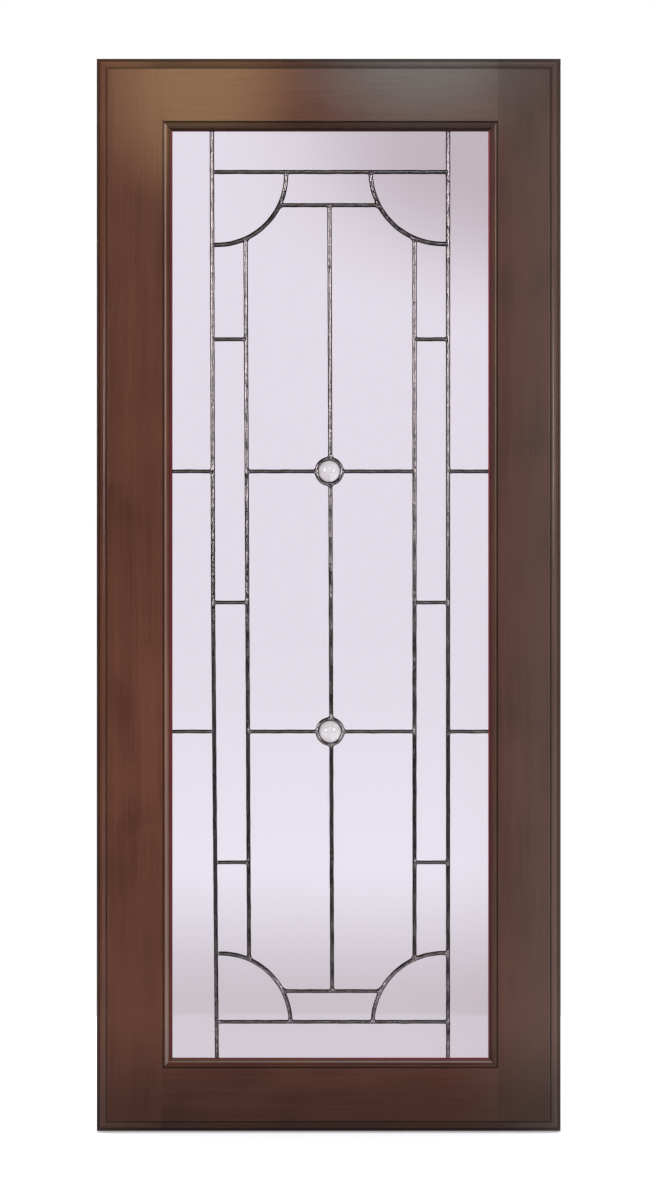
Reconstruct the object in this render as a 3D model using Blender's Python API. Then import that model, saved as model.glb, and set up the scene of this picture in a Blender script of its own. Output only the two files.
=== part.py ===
"""Leaded glass door leaf: a moulded wooden frame round a soldered panel of clear glass with two nuggets.

Metres, +Z up, the front towards -Y. The origin is on the hinge edge, half way up and half way through.
"""

import math

import bmesh
import bpy
from mathutils import Vector

# Door leaf
DOOR_WIDTH = 0.460
DOOR_HEIGHT = 1.063
DOOR_THICKNESS = 0.020
STILE_LEFT_WIDTH = 0.0751
STILE_RIGHT_WIDTH = 0.0718
RAIL_TOP_WIDTH = 0.0720
RAIL_BOTTOM_WIDTH = 0.0725

# Moulding round the outer edge of the leaf
EDGE_BAND = 0.0110
EDGE_STEP = 0.0013
EDGE_LAND = 0.0008
EDGE_OVOLO_DROP = 0.0047
EDGE_FILLET = 0.0030
EDGE_NOSE = 0.0012

# Sticking round the sight opening
SIGHT_BAND = 0.0094
SIGHT_STEP = 0.0015
SIGHT_LAND = 0.0007
SIGHT_OVOLO_DROP = 0.0048
SIGHT_FILLET = 0.0027
SIGHT_NOSE = 0.0008

# Rebate at the back, and the beads that hold the panel in it
LEDGE_DEPTH = 0.0090
REBATE_WIDTH = 0.0085
PANEL_PLAY = 0.0010
BEAD_SET_BACK = 0.0010
BEAD_ROUND = 0.0030
BEAD_SINK = 0.0005

# Clearances
FIT_GAP = 0.0003

# Glass and solder
GLASS_THICKNESS = 0.0030
SEAM_CROWN = 0.0012
WEB_HALF = 0.0005
UPRIGHT_HALF = 0.0021
BAR_HALF = 0.00185
ARC_HALF = 0.0021
RING_HALF = 0.0015
EDGE_SEAM_HALF = 0.0025
EDGE_WRAP = 0.0013

# Seam plan across: margins from the sight edges, columns, and how far the hand-set seams lean
MARGIN_LEFT = 0.0389
MARGIN_RIGHT = 0.0397
COLUMN_LEFT = 0.0329
COLUMN_RIGHT = 0.0333
OUTER_LEFT_KNEE_LEAN = 0.0012
OUTER_LEFT_FOOT_LEAN = 0.0050
INNER_LEFT_FOOT_LEAN = 0.0045
CENTRE_TOP_SHIFT = -0.0012
CENTRE_FOOT_SHIFT = 0.0020

# Seam plan down: strips, bands and rows from each end of the sight opening
HEAD_MARGIN = 0.0397
HEAD_BAND = 0.0329
ROW_UPPER = 0.2643
FOOT_MARGIN = 0.0351
FOOT_BAND = 0.0305
ROW_LOWER = 0.2577
SHORT_BAR_DROP = 0.0010

# Corner arcs: centres set in from the outer seam, and past the bar towards the panel's middle
ARC_INSET = 0.0047
ARC_TOP_LEFT_RADIUS = 0.0689
ARC_TOP_LEFT_DROP = 0.0034
ARC_TOP_RIGHT_RADIUS = 0.0722
ARC_TOP_RIGHT_DROP = -0.0007
ARC_BOTTOM_LEFT_RADIUS = 0.0686
ARC_BOTTOM_LEFT_DROP = -0.0008
ARC_BOTTOM_RIGHT_RADIUS = 0.0701
ARC_BOTTOM_RIGHT_DROP = -0.0018

# Nuggets
NUGGET_SIGHT_RADIUS = 0.0107
NUGGET_RISE = 0.0035
NUGGET_SIDESTEP = -0.0011

# Fineness of the round parts
OVOLO_SEGMENTS = 7
NOSE_SEGMENTS = 3
BEAD_SEGMENTS = 3
DOME_SEGMENTS = 4
RING_QUARTER_SEGMENTS = 5
ARC_STEP = math.radians(10.0)
CUTTER_MARGIN = 0.010
SAME_POINT = 1e-6

# Colours, linear, from the stained maple, the glass and the darkened solder
WOOD_COLOUR = (0.117, 0.051, 0.036, 1.0)
BEAD_WOOD_COLOUR = (0.075, 0.033, 0.024, 1.0)
GLASS_COLOUR = (0.93, 0.91, 0.95, 1.0)
SOLDER_COLOUR = (0.085, 0.075, 0.078, 1.0)

# Places that follow from the sizes above
FRONT_Y = -DOOR_THICKNESS / 2
BACK_Y = DOOR_THICKNESS / 2
SIGHT_LEFT = STILE_LEFT_WIDTH
SIGHT_RIGHT = DOOR_WIDTH - STILE_RIGHT_WIDTH
SIGHT_TOP = DOOR_HEIGHT / 2 - RAIL_TOP_WIDTH
SIGHT_BOTTOM = -DOOR_HEIGHT / 2 + RAIL_BOTTOM_WIDTH
GLASS_FRONT_Y = FRONT_Y + LEDGE_DEPTH + FIT_GAP + SEAM_CROWN
GLASS_BACK_Y = GLASS_FRONT_Y + GLASS_THICKNESS
BEAD_FRONT_Y = GLASS_BACK_Y + SEAM_CROWN + FIT_GAP
PANE_EDGE = WEB_HALF + FIT_GAP
RING_RADIUS = NUGGET_SIGHT_RADIUS + RING_HALF

HEAD_BAR_Z = SIGHT_TOP - HEAD_MARGIN
HEAD_BAND_Z = HEAD_BAR_Z - HEAD_BAND
LONG_UPPER_Z = HEAD_BAND_Z - ROW_UPPER
FOOT_BAR_Z = SIGHT_BOTTOM + FOOT_MARGIN
FOOT_BAND_Z = FOOT_BAR_Z + FOOT_BAND
LONG_LOWER_Z = FOOT_BAND_Z + ROW_LOWER
SHORT_UPPER_Z = (HEAD_BAND_Z + LONG_UPPER_Z) / 2 - SHORT_BAR_DROP
SHORT_MIDDLE_Z = (LONG_UPPER_Z + LONG_LOWER_Z) / 2 - SHORT_BAR_DROP
SHORT_LOWER_Z = (LONG_LOWER_Z + FOOT_BAND_Z) / 2 - SHORT_BAR_DROP

SEAM_HALVES = {"upright": UPRIGHT_HALF, "bar": BAR_HALF, "arc": ARC_HALF, "ring": RING_HALF,
               "edge": EDGE_SEAM_HALF, "wrap": EDGE_WRAP}


def clear_scene():
    """Removes every object, so that the script can run again from the text editor."""
    for old in list(bpy.data.objects):
        bpy.data.objects.remove(old, do_unlink=True)


def principled(name, colour, roughness, metallic=0.0, transmission=0.0):
    """A Principled BSDF material of one plain colour."""
    material = bpy.data.materials.new(name)
    material.use_nodes = True
    shader = material.node_tree.nodes["Principled BSDF"]
    shader.inputs["Base Color"].default_value = colour
    shader.inputs["Roughness"].default_value = roughness
    shader.inputs["Metallic"].default_value = metallic
    shader.inputs["Transmission Weight"].default_value = transmission
    return material


def add_object(name, mesh, material, smooth_angle=None):
    """Links a mesh into the scene as a named object with one material."""
    piece = bpy.data.objects.new(name, mesh)
    bpy.context.scene.collection.objects.link(piece)
    if material:
        mesh.materials.append(material)
    if smooth_angle:
        mesh.shade_smooth()
        mesh.set_sharp_from_angle(angle=smooth_angle)
    return piece


def finish_mesh(name, body):
    """Turns the faces outwards and hands the bmesh over as a mesh."""
    bmesh.ops.recalc_face_normals(body, faces=body.faces)
    mesh = bpy.data.meshes.new(name)
    body.to_mesh(mesh)
    body.free()
    return mesh


def add_loop(body, points):
    """One closed loop of vertices at (x, y, z) points."""
    return [body.verts.new(point) for point in points]


def bridge(body, first, second):
    """Quads between two loops of the same length."""
    count = len(first)
    for i in range(count):
        j = (i + 1) % count
        body.faces.new((first[i], first[j], second[j], second[i]))


def prism(name, outline, front_y, back_y):
    """A flat plate or cutter: an outline of (x, z) points carried from front_y to back_y."""
    body = bmesh.new()
    front = add_loop(body, [(x, front_y, z) for x, z in outline])
    back = add_loop(body, [(x, back_y, z) for x, z in outline])
    bridge(body, front, back)
    body.faces.new(front)
    body.faces.new(back)
    return finish_mesh(name, body)


def quarter_round(start, end, segments):
    """A quarter of an ellipse that leaves start level and reaches end plumb, as (offset, depth) points."""
    points = []
    for step in range(segments + 1):
        turn = math.pi / 2 * step / segments
        offset = start[0] + (end[0] - start[0]) * math.sin(turn)
        depth = start[1] + (end[1] - start[1]) * (1 - math.cos(turn))
        points.append((offset, depth))
    return points


def moulding(band, step, land, drop, fillet, nose):
    """Half a member's profile from its flat face to its arris: step, land, ovolo, fillet and nose."""
    floor = step + drop
    points = [(band, 0.0), (band, step)]
    points += quarter_round((band - land, step), (fillet, floor), OVOLO_SEGMENTS)
    points += quarter_round((nose, floor), (0.0, floor + nose), NOSE_SEGMENTS)
    return points


def edge_corners(inset):
    """The leaf's outer rectangle drawn in by inset, anticlockwise from bottom left, as (x, z)."""
    half = DOOR_HEIGHT / 2 - inset
    return [(inset, -half), (DOOR_WIDTH - inset, -half), (DOOR_WIDTH - inset, half), (inset, half)]


def sight_corners(outset):
    """The sight rectangle let out by outset, anticlockwise from bottom left, as (x, z)."""
    left, right = SIGHT_LEFT - outset, SIGHT_RIGHT + outset
    bottom, top = SIGHT_BOTTOM - outset, SIGHT_TOP + outset
    return [(left, bottom), (right, bottom), (right, top), (left, top)]


def frame_ring():
    """The whole frame as one ring: its section carried round both rectangles with mitred corners."""
    edge = moulding(EDGE_BAND, EDGE_STEP, EDGE_LAND, EDGE_OVOLO_DROP, EDGE_FILLET, EDGE_NOSE)
    sight = moulding(SIGHT_BAND, SIGHT_STEP, SIGHT_LAND, SIGHT_OVOLO_DROP, SIGHT_FILLET, SIGHT_NOSE)
    section = [(edge_corners(0.0), DOOR_THICKNESS)]
    section += [(edge_corners(offset), depth) for offset, depth in reversed(edge)]
    section += [(sight_corners(offset), depth) for offset, depth in sight]
    section += [(sight_corners(0.0), LEDGE_DEPTH), (sight_corners(REBATE_WIDTH), LEDGE_DEPTH),
                (sight_corners(REBATE_WIDTH), DOOR_THICKNESS)]
    body = bmesh.new()
    loops = [add_loop(body, [(x, FRONT_Y + depth, z) for x, z in corners]) for corners, depth in section]
    for this_loop, next_loop in zip(loops, loops[1:] + loops[:1]):
        bridge(body, this_loop, next_loop)
    return finish_mesh("frame_ring", body)


def joint_line(side, end, shift):
    """The joint between a stile and a rail in plan, from outside the leaf to inside the opening.

    It runs plumb down the step of the sticking, then mitres across the sticking. side is -1 at the left
    and 1 at the right, end is -1 at the foot and 1 at the head, and shift moves it towards the stile.
    """
    left_foot, _, right_head, _ = sight_corners(SIGHT_BAND)
    quirk_x = left_foot[0] if side < 0 else right_head[0]
    quirk_z = left_foot[1] if end < 0 else right_head[1]
    far_z = end * (DOOR_HEIGHT / 2 + CUTTER_MARGIN)
    turn_x = quirk_x + side * shift
    turn_z = quirk_z - end * (math.sqrt(2.0) - 1.0) * shift
    run = SIGHT_BAND + CUTTER_MARGIN
    return [(turn_x, far_z), (turn_x, turn_z), (turn_x - side * run, turn_z - end * run)]


def stile_region(side):
    """The plan of one stile: full height, with the sticking mitred at both inner corners."""
    far_x = -CUTTER_MARGIN if side < 0 else DOOR_WIDTH + CUTTER_MARGIN
    foot = joint_line(side, -1, FIT_GAP / 2)
    head = joint_line(side, 1, FIT_GAP / 2)
    return [(far_x, foot[0][1])] + foot + head[::-1] + [(far_x, head[0][1])]


def rail_region(end):
    """The plan of one rail: between the stiles, with its sticking mitred at both ends."""
    return joint_line(-1, end, -FIT_GAP / 2) + joint_line(1, end, -FIT_GAP / 2)[::-1]


def frame_member(name, region, wood):
    """One stile or rail: the ring kept only where the member's plan covers it."""
    cutter = add_object(name + "_plan", prism(name + "_plan", region, 2 * FRONT_Y, 2 * BACK_Y), None)
    cutter.hide_render = True
    cutter.display_type = "WIRE"
    member = add_object(name, frame_ring(), wood, math.radians(30.0))
    keep = member.modifiers.new("keep_plan", "BOOLEAN")
    keep.operation = "INTERSECT"
    keep.solver = "EXACT"
    keep.object = cutter


def build_frame(wood):
    """Two full-height stiles and the two rails between them."""
    frame_member("stile_left", stile_region(-1), wood)
    frame_member("stile_right", stile_region(1), wood)
    frame_member("rail_top", rail_region(1), wood)
    frame_member("rail_bottom", rail_region(-1), wood)


def build_glazing_beads(wood):
    """Four mitred strips in the rebate behind the panel, each with one rounded arris."""
    wall = REBATE_WIDTH - FIT_GAP
    back_y = BACK_Y - BEAD_SINK
    section = [(wall, BEAD_FRONT_Y), (wall, back_y)]
    section += quarter_round((BEAD_SET_BACK + BEAD_ROUND, back_y), (BEAD_SET_BACK, back_y - BEAD_ROUND),
                             NOSE_SEGMENTS)
    section.append((BEAD_SET_BACK, BEAD_FRONT_Y))
    shorten = FIT_GAP / math.sqrt(2.0)
    for number, name in enumerate(("bottom", "right", "top", "left")):
        body = bmesh.new()
        ends = ([], [])
        for outset, y in section:
            corners = sight_corners(outset)
            start, stop = Vector(corners[number]), Vector(corners[(number + 1) % 4])
            along = (stop - start).normalized() * shorten
            ends[0].append((start.x + along.x, y, start.y + along.y))
            ends[1].append((stop.x - along.x, y, stop.y - along.y))
        loops = [add_loop(body, points) for points in ends]
        bridge(body, *loops)
        for loop in loops:
            body.faces.new(loop)
        node = "glazing_bead_" + name
        add_object(node, finish_mesh(node, body), wood, math.radians(40.0))


def share_down(z):
    """How far down the sight opening z lies: 0 at its head, 1 at its foot."""
    return (SIGHT_TOP - z) / (SIGHT_TOP - SIGHT_BOTTOM)


def outer_left(z):
    """The outer left seam: nearly plumb down to the middle short bar, then leaning in to its foot."""
    top_x = SIGHT_LEFT + MARGIN_LEFT
    knee = share_down(SHORT_MIDDLE_Z)
    share = share_down(z)
    if share <= knee:
        return top_x + OUTER_LEFT_KNEE_LEAN * share / knee
    lower = (share - knee) / (1.0 - knee)
    return top_x + OUTER_LEFT_KNEE_LEAN + (OUTER_LEFT_FOOT_LEAN - OUTER_LEFT_KNEE_LEAN) * lower


def inner_left(z):
    """The inner left seam, which leans in towards its foot."""
    return SIGHT_LEFT + MARGIN_LEFT + COLUMN_LEFT + INNER_LEFT_FOOT_LEAN * share_down(z)


def centre_seam(z):
    """The centre seam, which starts left of the middle and ends right of it."""
    shift = CENTRE_TOP_SHIFT + (CENTRE_FOOT_SHIFT - CENTRE_TOP_SHIFT) * share_down(z)
    return (SIGHT_LEFT + SIGHT_RIGHT) / 2 + shift


def outer_right(z):
    """The outer right seam, which is plumb."""
    return SIGHT_RIGHT - MARGIN_RIGHT


def inner_right(z):
    """The inner right seam, which is plumb."""
    return outer_right(z) - COLUMN_RIGHT


def upright_meets_circle(upright, centre, radius, end):
    """Where an upright seam crosses a circle above (end 1) or below (end -1) its centre."""
    z = centre[1] + end * radius
    for _ in range(12):
        across = upright(z) - centre[0]
        z = centre[1] + end * math.sqrt(radius * radius - across * across)
    return (upright(z), z)


def bar_meets_circle(z, centre, radius, side):
    """Where a level bar crosses a circle to the left (side -1) or right (side 1) of its centre."""
    rise = z - centre[1]
    return (centre[0] + side * math.sqrt(radius * radius - rise * rise), z)


def arc_between(centre, radius, start, stop, segments):
    """Points along the shorter way round a circle from start to stop, both included."""
    first = math.atan2(start[1] - centre[1], start[0] - centre[0])
    turn = math.atan2(stop[1] - centre[1], stop[0] - centre[0]) - first
    turn = (turn + math.pi) % (2 * math.pi) - math.pi
    if segments is None:
        segments = max(1, round(abs(turn) / ARC_STEP))
    inner = [(centre[0] + radius * math.cos(first + turn * k / segments),
              centre[1] + radius * math.sin(first + turn * k / segments)) for k in range(1, segments)]
    return [start] + inner + [stop]


def arc_through(centre, radius, stops, segments=None):
    """One line along a circle that passes exactly through each of its stops."""
    points = [stops[0]]
    for start, stop in zip(stops, stops[1:]):
        points += arc_between(centre, radius, start, stop, segments)[1:]
    return points


def corner_seams(side, end, radius, drop):
    """A corner arc from the end bar to the outer seam, and where the band and inner seam end on it."""
    outer, inner = (outer_left, inner_left) if side < 0 else (outer_right, inner_right)
    bar_z, band_z = (HEAD_BAR_Z, HEAD_BAND_Z) if end > 0 else (FOOT_BAR_Z, FOOT_BAND_Z)
    centre = (outer(bar_z) - side * ARC_INSET, bar_z - end * drop)
    on_bar = bar_meets_circle(bar_z, centre, radius, -side)
    on_band = bar_meets_circle(band_z, centre, radius, -side)
    on_inner = upright_meets_circle(inner, centre, radius, -end)
    on_outer = upright_meets_circle(outer, centre, radius, -end)
    line = arc_through(centre, radius, [on_bar, on_band, on_inner, on_outer])
    return {"line": line, "band": on_band, "inner": on_inner, "outer": on_outer}


def ring_seams(z):
    """The ring round a nugget, and where the bars (left, right) and the centre seam end on it."""
    centre = (centre_seam(z) + NUGGET_SIDESTEP, z)
    stops = [bar_meets_circle(z, centre, RING_RADIUS, 1),
             upright_meets_circle(centre_seam, centre, RING_RADIUS, 1),
             bar_meets_circle(z, centre, RING_RADIUS, -1),
             upright_meets_circle(centre_seam, centre, RING_RADIUS, -1)]
    line = arc_through(centre, RING_RADIUS, stops + stops[:1], RING_QUARTER_SEGMENTS)
    return {"line": line, "centre": centre, "right": stops[0], "top": stops[1],
            "left": stops[2], "bottom": stops[3]}


def edge_seam_corners():
    """The centre line of the seam wrapped round the panel's edge, which stands on the rebate."""
    left, bottom = sight_corners(REBATE_WIDTH)[0]
    right, top = sight_corners(REBATE_WIDTH)[2]
    inset = PANEL_PLAY + EDGE_WRAP
    bottom += FIT_GAP + EDGE_WRAP
    return [(left + inset, bottom), (right - inset, bottom), (right - inset, top - inset), (left + inset, top - inset)]


def upright_line(upright, top_z, *lower):
    """An upright seam from top_z through each lower height."""
    return [(upright(z), z) for z in (top_z,) + lower]


def seam_plan():
    """Every seam's centre line, as (kind, points), and the two nugget rings."""
    edge = edge_seam_corners()
    edge_left, edge_bottom = edge[0]
    edge_right, edge_top = edge[2]
    upper, lower = ring_seams(LONG_UPPER_Z), ring_seams(LONG_LOWER_Z)
    top_left = corner_seams(-1, 1, ARC_TOP_LEFT_RADIUS, ARC_TOP_LEFT_DROP)
    top_right = corner_seams(1, 1, ARC_TOP_RIGHT_RADIUS, ARC_TOP_RIGHT_DROP)
    foot_left = corner_seams(-1, -1, ARC_BOTTOM_LEFT_RADIUS, ARC_BOTTOM_LEFT_DROP)
    foot_right = corner_seams(1, -1, ARC_BOTTOM_RIGHT_RADIUS, ARC_BOTTOM_RIGHT_DROP)
    plan = [("edge", edge + edge[:1]),
            ("upright", upright_line(outer_left, edge_top, SHORT_MIDDLE_Z, edge_bottom)),
            ("upright", upright_line(outer_right, edge_top, edge_bottom)),
            ("upright", [top_left["inner"], foot_left["inner"]]),
            ("upright", [top_right["inner"], foot_right["inner"]]),
            ("upright", [(centre_seam(HEAD_BAND_Z), HEAD_BAND_Z), upper["top"]]),
            ("upright", [upper["bottom"], lower["top"]]),
            ("upright", [lower["bottom"], (centre_seam(FOOT_BAND_Z), FOOT_BAND_Z)]),
            ("bar", [top_left["band"], top_right["band"]]),
            ("bar", [foot_left["band"], foot_right["band"]]),
            ("ring", upper["line"]), ("ring", lower["line"])]
    plan += [("arc", corner["line"]) for corner in (top_left, top_right, foot_left, foot_right)]
    plan += [("bar", [(outer_left(z), z), (outer_right(z), z)]) for z in (HEAD_BAR_Z, FOOT_BAR_Z)]
    for ring in (upper, lower):
        z = ring["centre"][1]
        plan += [("bar", [(edge_left, z), (outer_left(z), z)]), ("bar", [(outer_right(z), z), (edge_right, z)]),
                 ("bar", [(inner_left(z), z), ring["left"]]), ("bar", [ring["right"], (inner_right(z), z)])]
    for z in (SHORT_UPPER_Z, SHORT_MIDDLE_Z, SHORT_LOWER_Z):
        plan += [("bar", [(outer_left(z), z), (inner_left(z), z)]),
                 ("bar", [(inner_right(z), z), (outer_right(z), z)])]
    return plan, upper["centre"], lower["centre"]


def split_at_joints(plan):
    """Cuts each seam where another ends on it. Returns the joints, and each joint's neighbours by kind."""
    joints = []

    def joint(point):
        for number, known in enumerate(joints):
            if (known - point).length < SAME_POINT:
                return number
        joints.append(point)
        return len(joints) - 1

    ends = [Vector(line[side]) for _, line in plan for side in (0, -1)]
    neighbours = {}
    for kind, line in plan:
        for start, stop in zip(line, line[1:]):
            start, stop = Vector(start), Vector(stop)
            run = stop - start
            shares = [0.0, 1.0]
            for end in ends:
                share = (end - start).dot(run) / run.length_squared
                away = (start + run * share - end).length
                if away < SAME_POINT and 0.0 < share < 1.0:
                    shares.append(share)
            numbers = [joint(start + run * share) for share in sorted(shares)]
            for a, b in zip(numbers, numbers[1:]):
                if a != b:
                    neighbours.setdefault(a, {})[b] = kind
                    neighbours.setdefault(b, {})[a] = kind
    return joints, neighbours


def trace_cells(joints, neighbours):
    """Every closed cell of the plan, walked with its inside on the left, as lists of joint numbers."""
    turns = {}
    for here, others in neighbours.items():
        def bearing(other, here=here):
            way = joints[other] - joints[here]
            return math.atan2(way.y, way.x)
        turns[here] = sorted(others, key=bearing)
    unused = {(a, b) for a in neighbours for b in neighbours[a]}
    cells = []
    while unused:
        start = min(unused)
        cell, step = [], start
        while step in unused:
            unused.discard(step)
            cell.append(step[0])
            ways = turns[step[1]]
            step = (step[1], ways[ways.index(step[0]) - 1])
        cells.append(cell)
    return cells


def signed_area(points):
    """Twice the area inside a closed line, positive when it runs anticlockwise."""
    return sum(a.x * b.y - b.x * a.y for a, b in zip(points, points[1:] + points[:1]))


def draw_in(points, offsets):
    """Moves each side of a closed line to its left by its own offset and mitres the corners."""
    moved = []
    for i, here in enumerate(points):
        into = (here - points[i - 1]).normalized()
        out = (points[(i + 1) % len(points)] - here).normalized()
        into_left, out_left = Vector((-into.y, into.x)), Vector((-out.y, out.x))
        turn = into_left.x * out_left.y - into_left.y * out_left.x
        if abs(turn) < 0.02:
            moved.append(here + (into_left + out_left).normalized() * (offsets[i - 1] + offsets[i]) / 2)
            continue
        x = (offsets[i - 1] * out_left.y - offsets[i] * into_left.y) / turn
        y = (offsets[i] * into_left.x - offsets[i - 1] * out_left.x) / turn
        moved.append(here + Vector((x, y)))
    return moved


def without_straight_points(points):
    """Drops the points of a closed line at which it runs straight on."""
    kept = []
    for i, here in enumerate(points):
        into = (here - points[i - 1]).normalized()
        out = (points[(i + 1) % len(points)] - here).normalized()
        if abs(into.x * out.y - into.y * out.x) > 1e-4:
            kept.append(here)
    return kept


def bead_section(web):
    """Half a seam from its front crown to its back crown, as (share of half width, extra, y)."""
    front = []
    for step in range(1, BEAD_SEGMENTS + 1):
        turn = math.pi / 2 * step / BEAD_SEGMENTS
        front.append((math.sin(turn), 0.0, GLASS_FRONT_Y - FIT_GAP - (SEAM_CROWN - FIT_GAP) * math.cos(turn)))
    if web:
        front.append((0.0, WEB_HALF, GLASS_FRONT_Y - FIT_GAP))
    middle_y = (GLASS_FRONT_Y + GLASS_BACK_Y) / 2
    return front + [(share, extra, 2 * middle_y - y) for share, extra, y in reversed(front)]


def build_lattice(joints, neighbours, cells, solder):
    """All the seams as one solid. Half a seam's section is carried round the inside of every cell.

    Cells on both sides of a seam share its front and back crown lines, which closes the solid. The seam
    round the panel's edge is closed by a section carried round the outside of the panel.
    """
    body = bmesh.new()
    front_y, back_y = GLASS_FRONT_Y - SEAM_CROWN, GLASS_BACK_Y + SEAM_CROWN
    front_crown = add_loop(body, [(point.x, front_y, point.y) for point in joints])
    back_crown = add_loop(body, [(point.x, back_y, point.y) for point in joints])
    for cell in cells:
        points = [joints[number] for number in cell]
        inside = signed_area(points) > 0.0
        kinds = [neighbours[a][b] if inside else "wrap" for a, b in zip(cell, cell[1:] + cell[:1])]
        loop = [front_crown[number] for number in cell]
        for share, extra, y in bead_section(web=inside):
            offsets = [SEAM_HALVES[kind] * share + extra for kind in kinds]
            next_loop = add_loop(body, [(point.x, y, point.y) for point in draw_in(points, offsets)])
            bridge(body, loop, next_loop)
            loop = next_loop
        bridge(body, loop, [back_crown[number] for number in cell])
    add_object("solder_lattice", finish_mesh("solder_lattice", body), solder, math.radians(50.0))


def middle(first, second):
    """Half way between two values."""
    return (first + second) / 2


def pane_places():
    """A point inside each pane, by the pane's name."""
    places = {}
    rows = {"top": (SIGHT_TOP, LONG_UPPER_Z), "middle": (LONG_UPPER_Z, LONG_LOWER_Z),
            "bottom": (LONG_LOWER_Z, SIGHT_BOTTOM)}
    columns = {"left": (SIGHT_LEFT, outer_left, inner_left), "right": (SIGHT_RIGHT, outer_right, inner_right)}
    ends = [HEAD_BAR_Z - ARC_TOP_LEFT_RADIUS, SHORT_UPPER_Z, SHORT_MIDDLE_Z, SHORT_LOWER_Z,
            FOOT_BAR_Z + ARC_BOTTOM_LEFT_RADIUS]
    for side, (sight_x, outer, inner) in columns.items():
        for row, (high, low) in rows.items():
            z = middle(high, low)
            places["pane_margin_%s_%s" % (side, row)] = (middle(sight_x, outer(z)), z)
            places["pane_centre_%s_%s" % (side, row)] = (middle(inner(z), centre_seam(z)), z)
        for number in range(4):
            z = middle(ends[number], ends[number + 1])
            places["pane_column_%s_%d" % (side, number + 1)] = (middle(outer(z), inner(z)), z)
        for name, bar_z, band_z in (("top", HEAD_BAR_Z, HEAD_BAND_Z), ("bottom", FOOT_BAR_Z, FOOT_BAND_Z)):
            z = middle(bar_z, band_z)
            places["pane_corner_%s_%s" % (name, side)] = (middle(outer(z), inner(z)), z)
    for name, outer_z, bar_z, band_z in (("head", SIGHT_TOP, HEAD_BAR_Z, HEAD_BAND_Z),
                                         ("foot", SIGHT_BOTTOM, FOOT_BAR_Z, FOOT_BAND_Z)):
        places["pane_%s_strip" % name] = (centre_seam(bar_z), middle(outer_z, bar_z))
        places["pane_%s_band" % name] = (centre_seam(bar_z), middle(bar_z, band_z))
    return places


def contains(points, place):
    """Whether a closed line goes round a place, by counting the sides to its right."""
    inside = False
    for a, b in zip(points, points[1:] + points[:1]):
        if (a.y > place[1]) != (b.y > place[1]):
            if place[0] < a.x + (b.x - a.x) * (place[1] - a.y) / (b.y - a.y):
                inside = not inside
    return inside


def cell_round(outlines, place, name):
    """The one cell that goes round a place."""
    found = [points for points in outlines if contains(points, place)]
    if len(found) != 1:
        raise ValueError("no single cell for " + name)
    return found[0]


def build_panes(outlines, glass):
    """One flat pane in every cell, short of the seams' webs by the fitting gap."""
    for name, place in pane_places().items():
        points = cell_round(outlines, place, name)
        outline = without_straight_points(draw_in(points, [PANE_EDGE] * len(points)))
        add_object(name, prism(name, [tuple(point) for point in outline], GLASS_FRONT_Y, GLASS_BACK_Y), glass)


def build_nugget(name, outlines, centre, glass):
    """A glass nugget: a flat-backed disc whose front rises in a dome inside its solder ring."""
    points = cell_round(outlines, centre, name)
    rim = draw_in(points, [PANE_EDGE] * len(points))
    body = bmesh.new()
    foot_share = (NUGGET_SIGHT_RADIUS - FIT_GAP) / (RING_RADIUS - PANE_EDGE)
    levels = [(1.0, GLASS_BACK_Y), (1.0, GLASS_FRONT_Y)]
    for step in range(DOME_SEGMENTS):
        turn = math.pi / 2 * step / DOME_SEGMENTS
        levels.append((foot_share * math.cos(turn), GLASS_FRONT_Y - NUGGET_RISE * math.sin(turn)))
    loops = []
    for share, y in levels:
        loops.append(add_loop(body, [(centre[0] + (point.x - centre[0]) * share, y,
                                      centre[1] + (point.y - centre[1]) * share) for point in rim]))
    for this_loop, next_loop in zip(loops, loops[1:]):
        bridge(body, this_loop, next_loop)
    top = body.verts.new((centre[0], GLASS_FRONT_Y - NUGGET_RISE, centre[1]))
    for a, b in zip(loops[-1], loops[-1][1:] + loops[-1][:1]):
        body.faces.new((a, b, top))
    body.faces.new(loops[0])
    add_object(name, finish_mesh(name, body), glass, math.radians(50.0))


def build_panel(glass, nugget_glass, solder):
    """The soldered panel: lattice, panes and nuggets, all worked out from one plan of seams."""
    plan, upper_centre, lower_centre = seam_plan()
    joints, neighbours = split_at_joints(plan)
    cells = trace_cells(joints, neighbours)
    build_lattice(joints, neighbours, cells, solder)
    outlines = [[joints[number] for number in cell] for cell in cells]
    outlines = [points for points in outlines if signed_area(points) > 0.0]
    build_panes(outlines, glass)
    build_nugget("nugget_upper", outlines, upper_centre, nugget_glass)
    build_nugget("nugget_lower", outlines, lower_centre, nugget_glass)


def main():
    clear_scene()
    wood = principled("stained_wood", WOOD_COLOUR, 0.35)
    bead_wood = principled("bead_wood", BEAD_WOOD_COLOUR, 0.45)
    glass = principled("clear_glass", GLASS_COLOUR, 0.02, transmission=1.0)
    nugget_glass = principled("nugget_glass", GLASS_COLOUR, 0.01, transmission=1.0)
    solder = principled("solder", SOLDER_COLOUR, 0.30, metallic=1.0)
    build_frame(wood)
    build_glazing_beads(bead_wood)
    build_panel(glass, nugget_glass, solder)


main()
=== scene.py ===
"""Leaded glass cabinet door: its joinery, soldered lattice, nuggets, glass and studio.

Metres, +Z up, the moulded front towards -Y. The origin is on the hinge edge, half way up and half way through.
"""

import math

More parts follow.
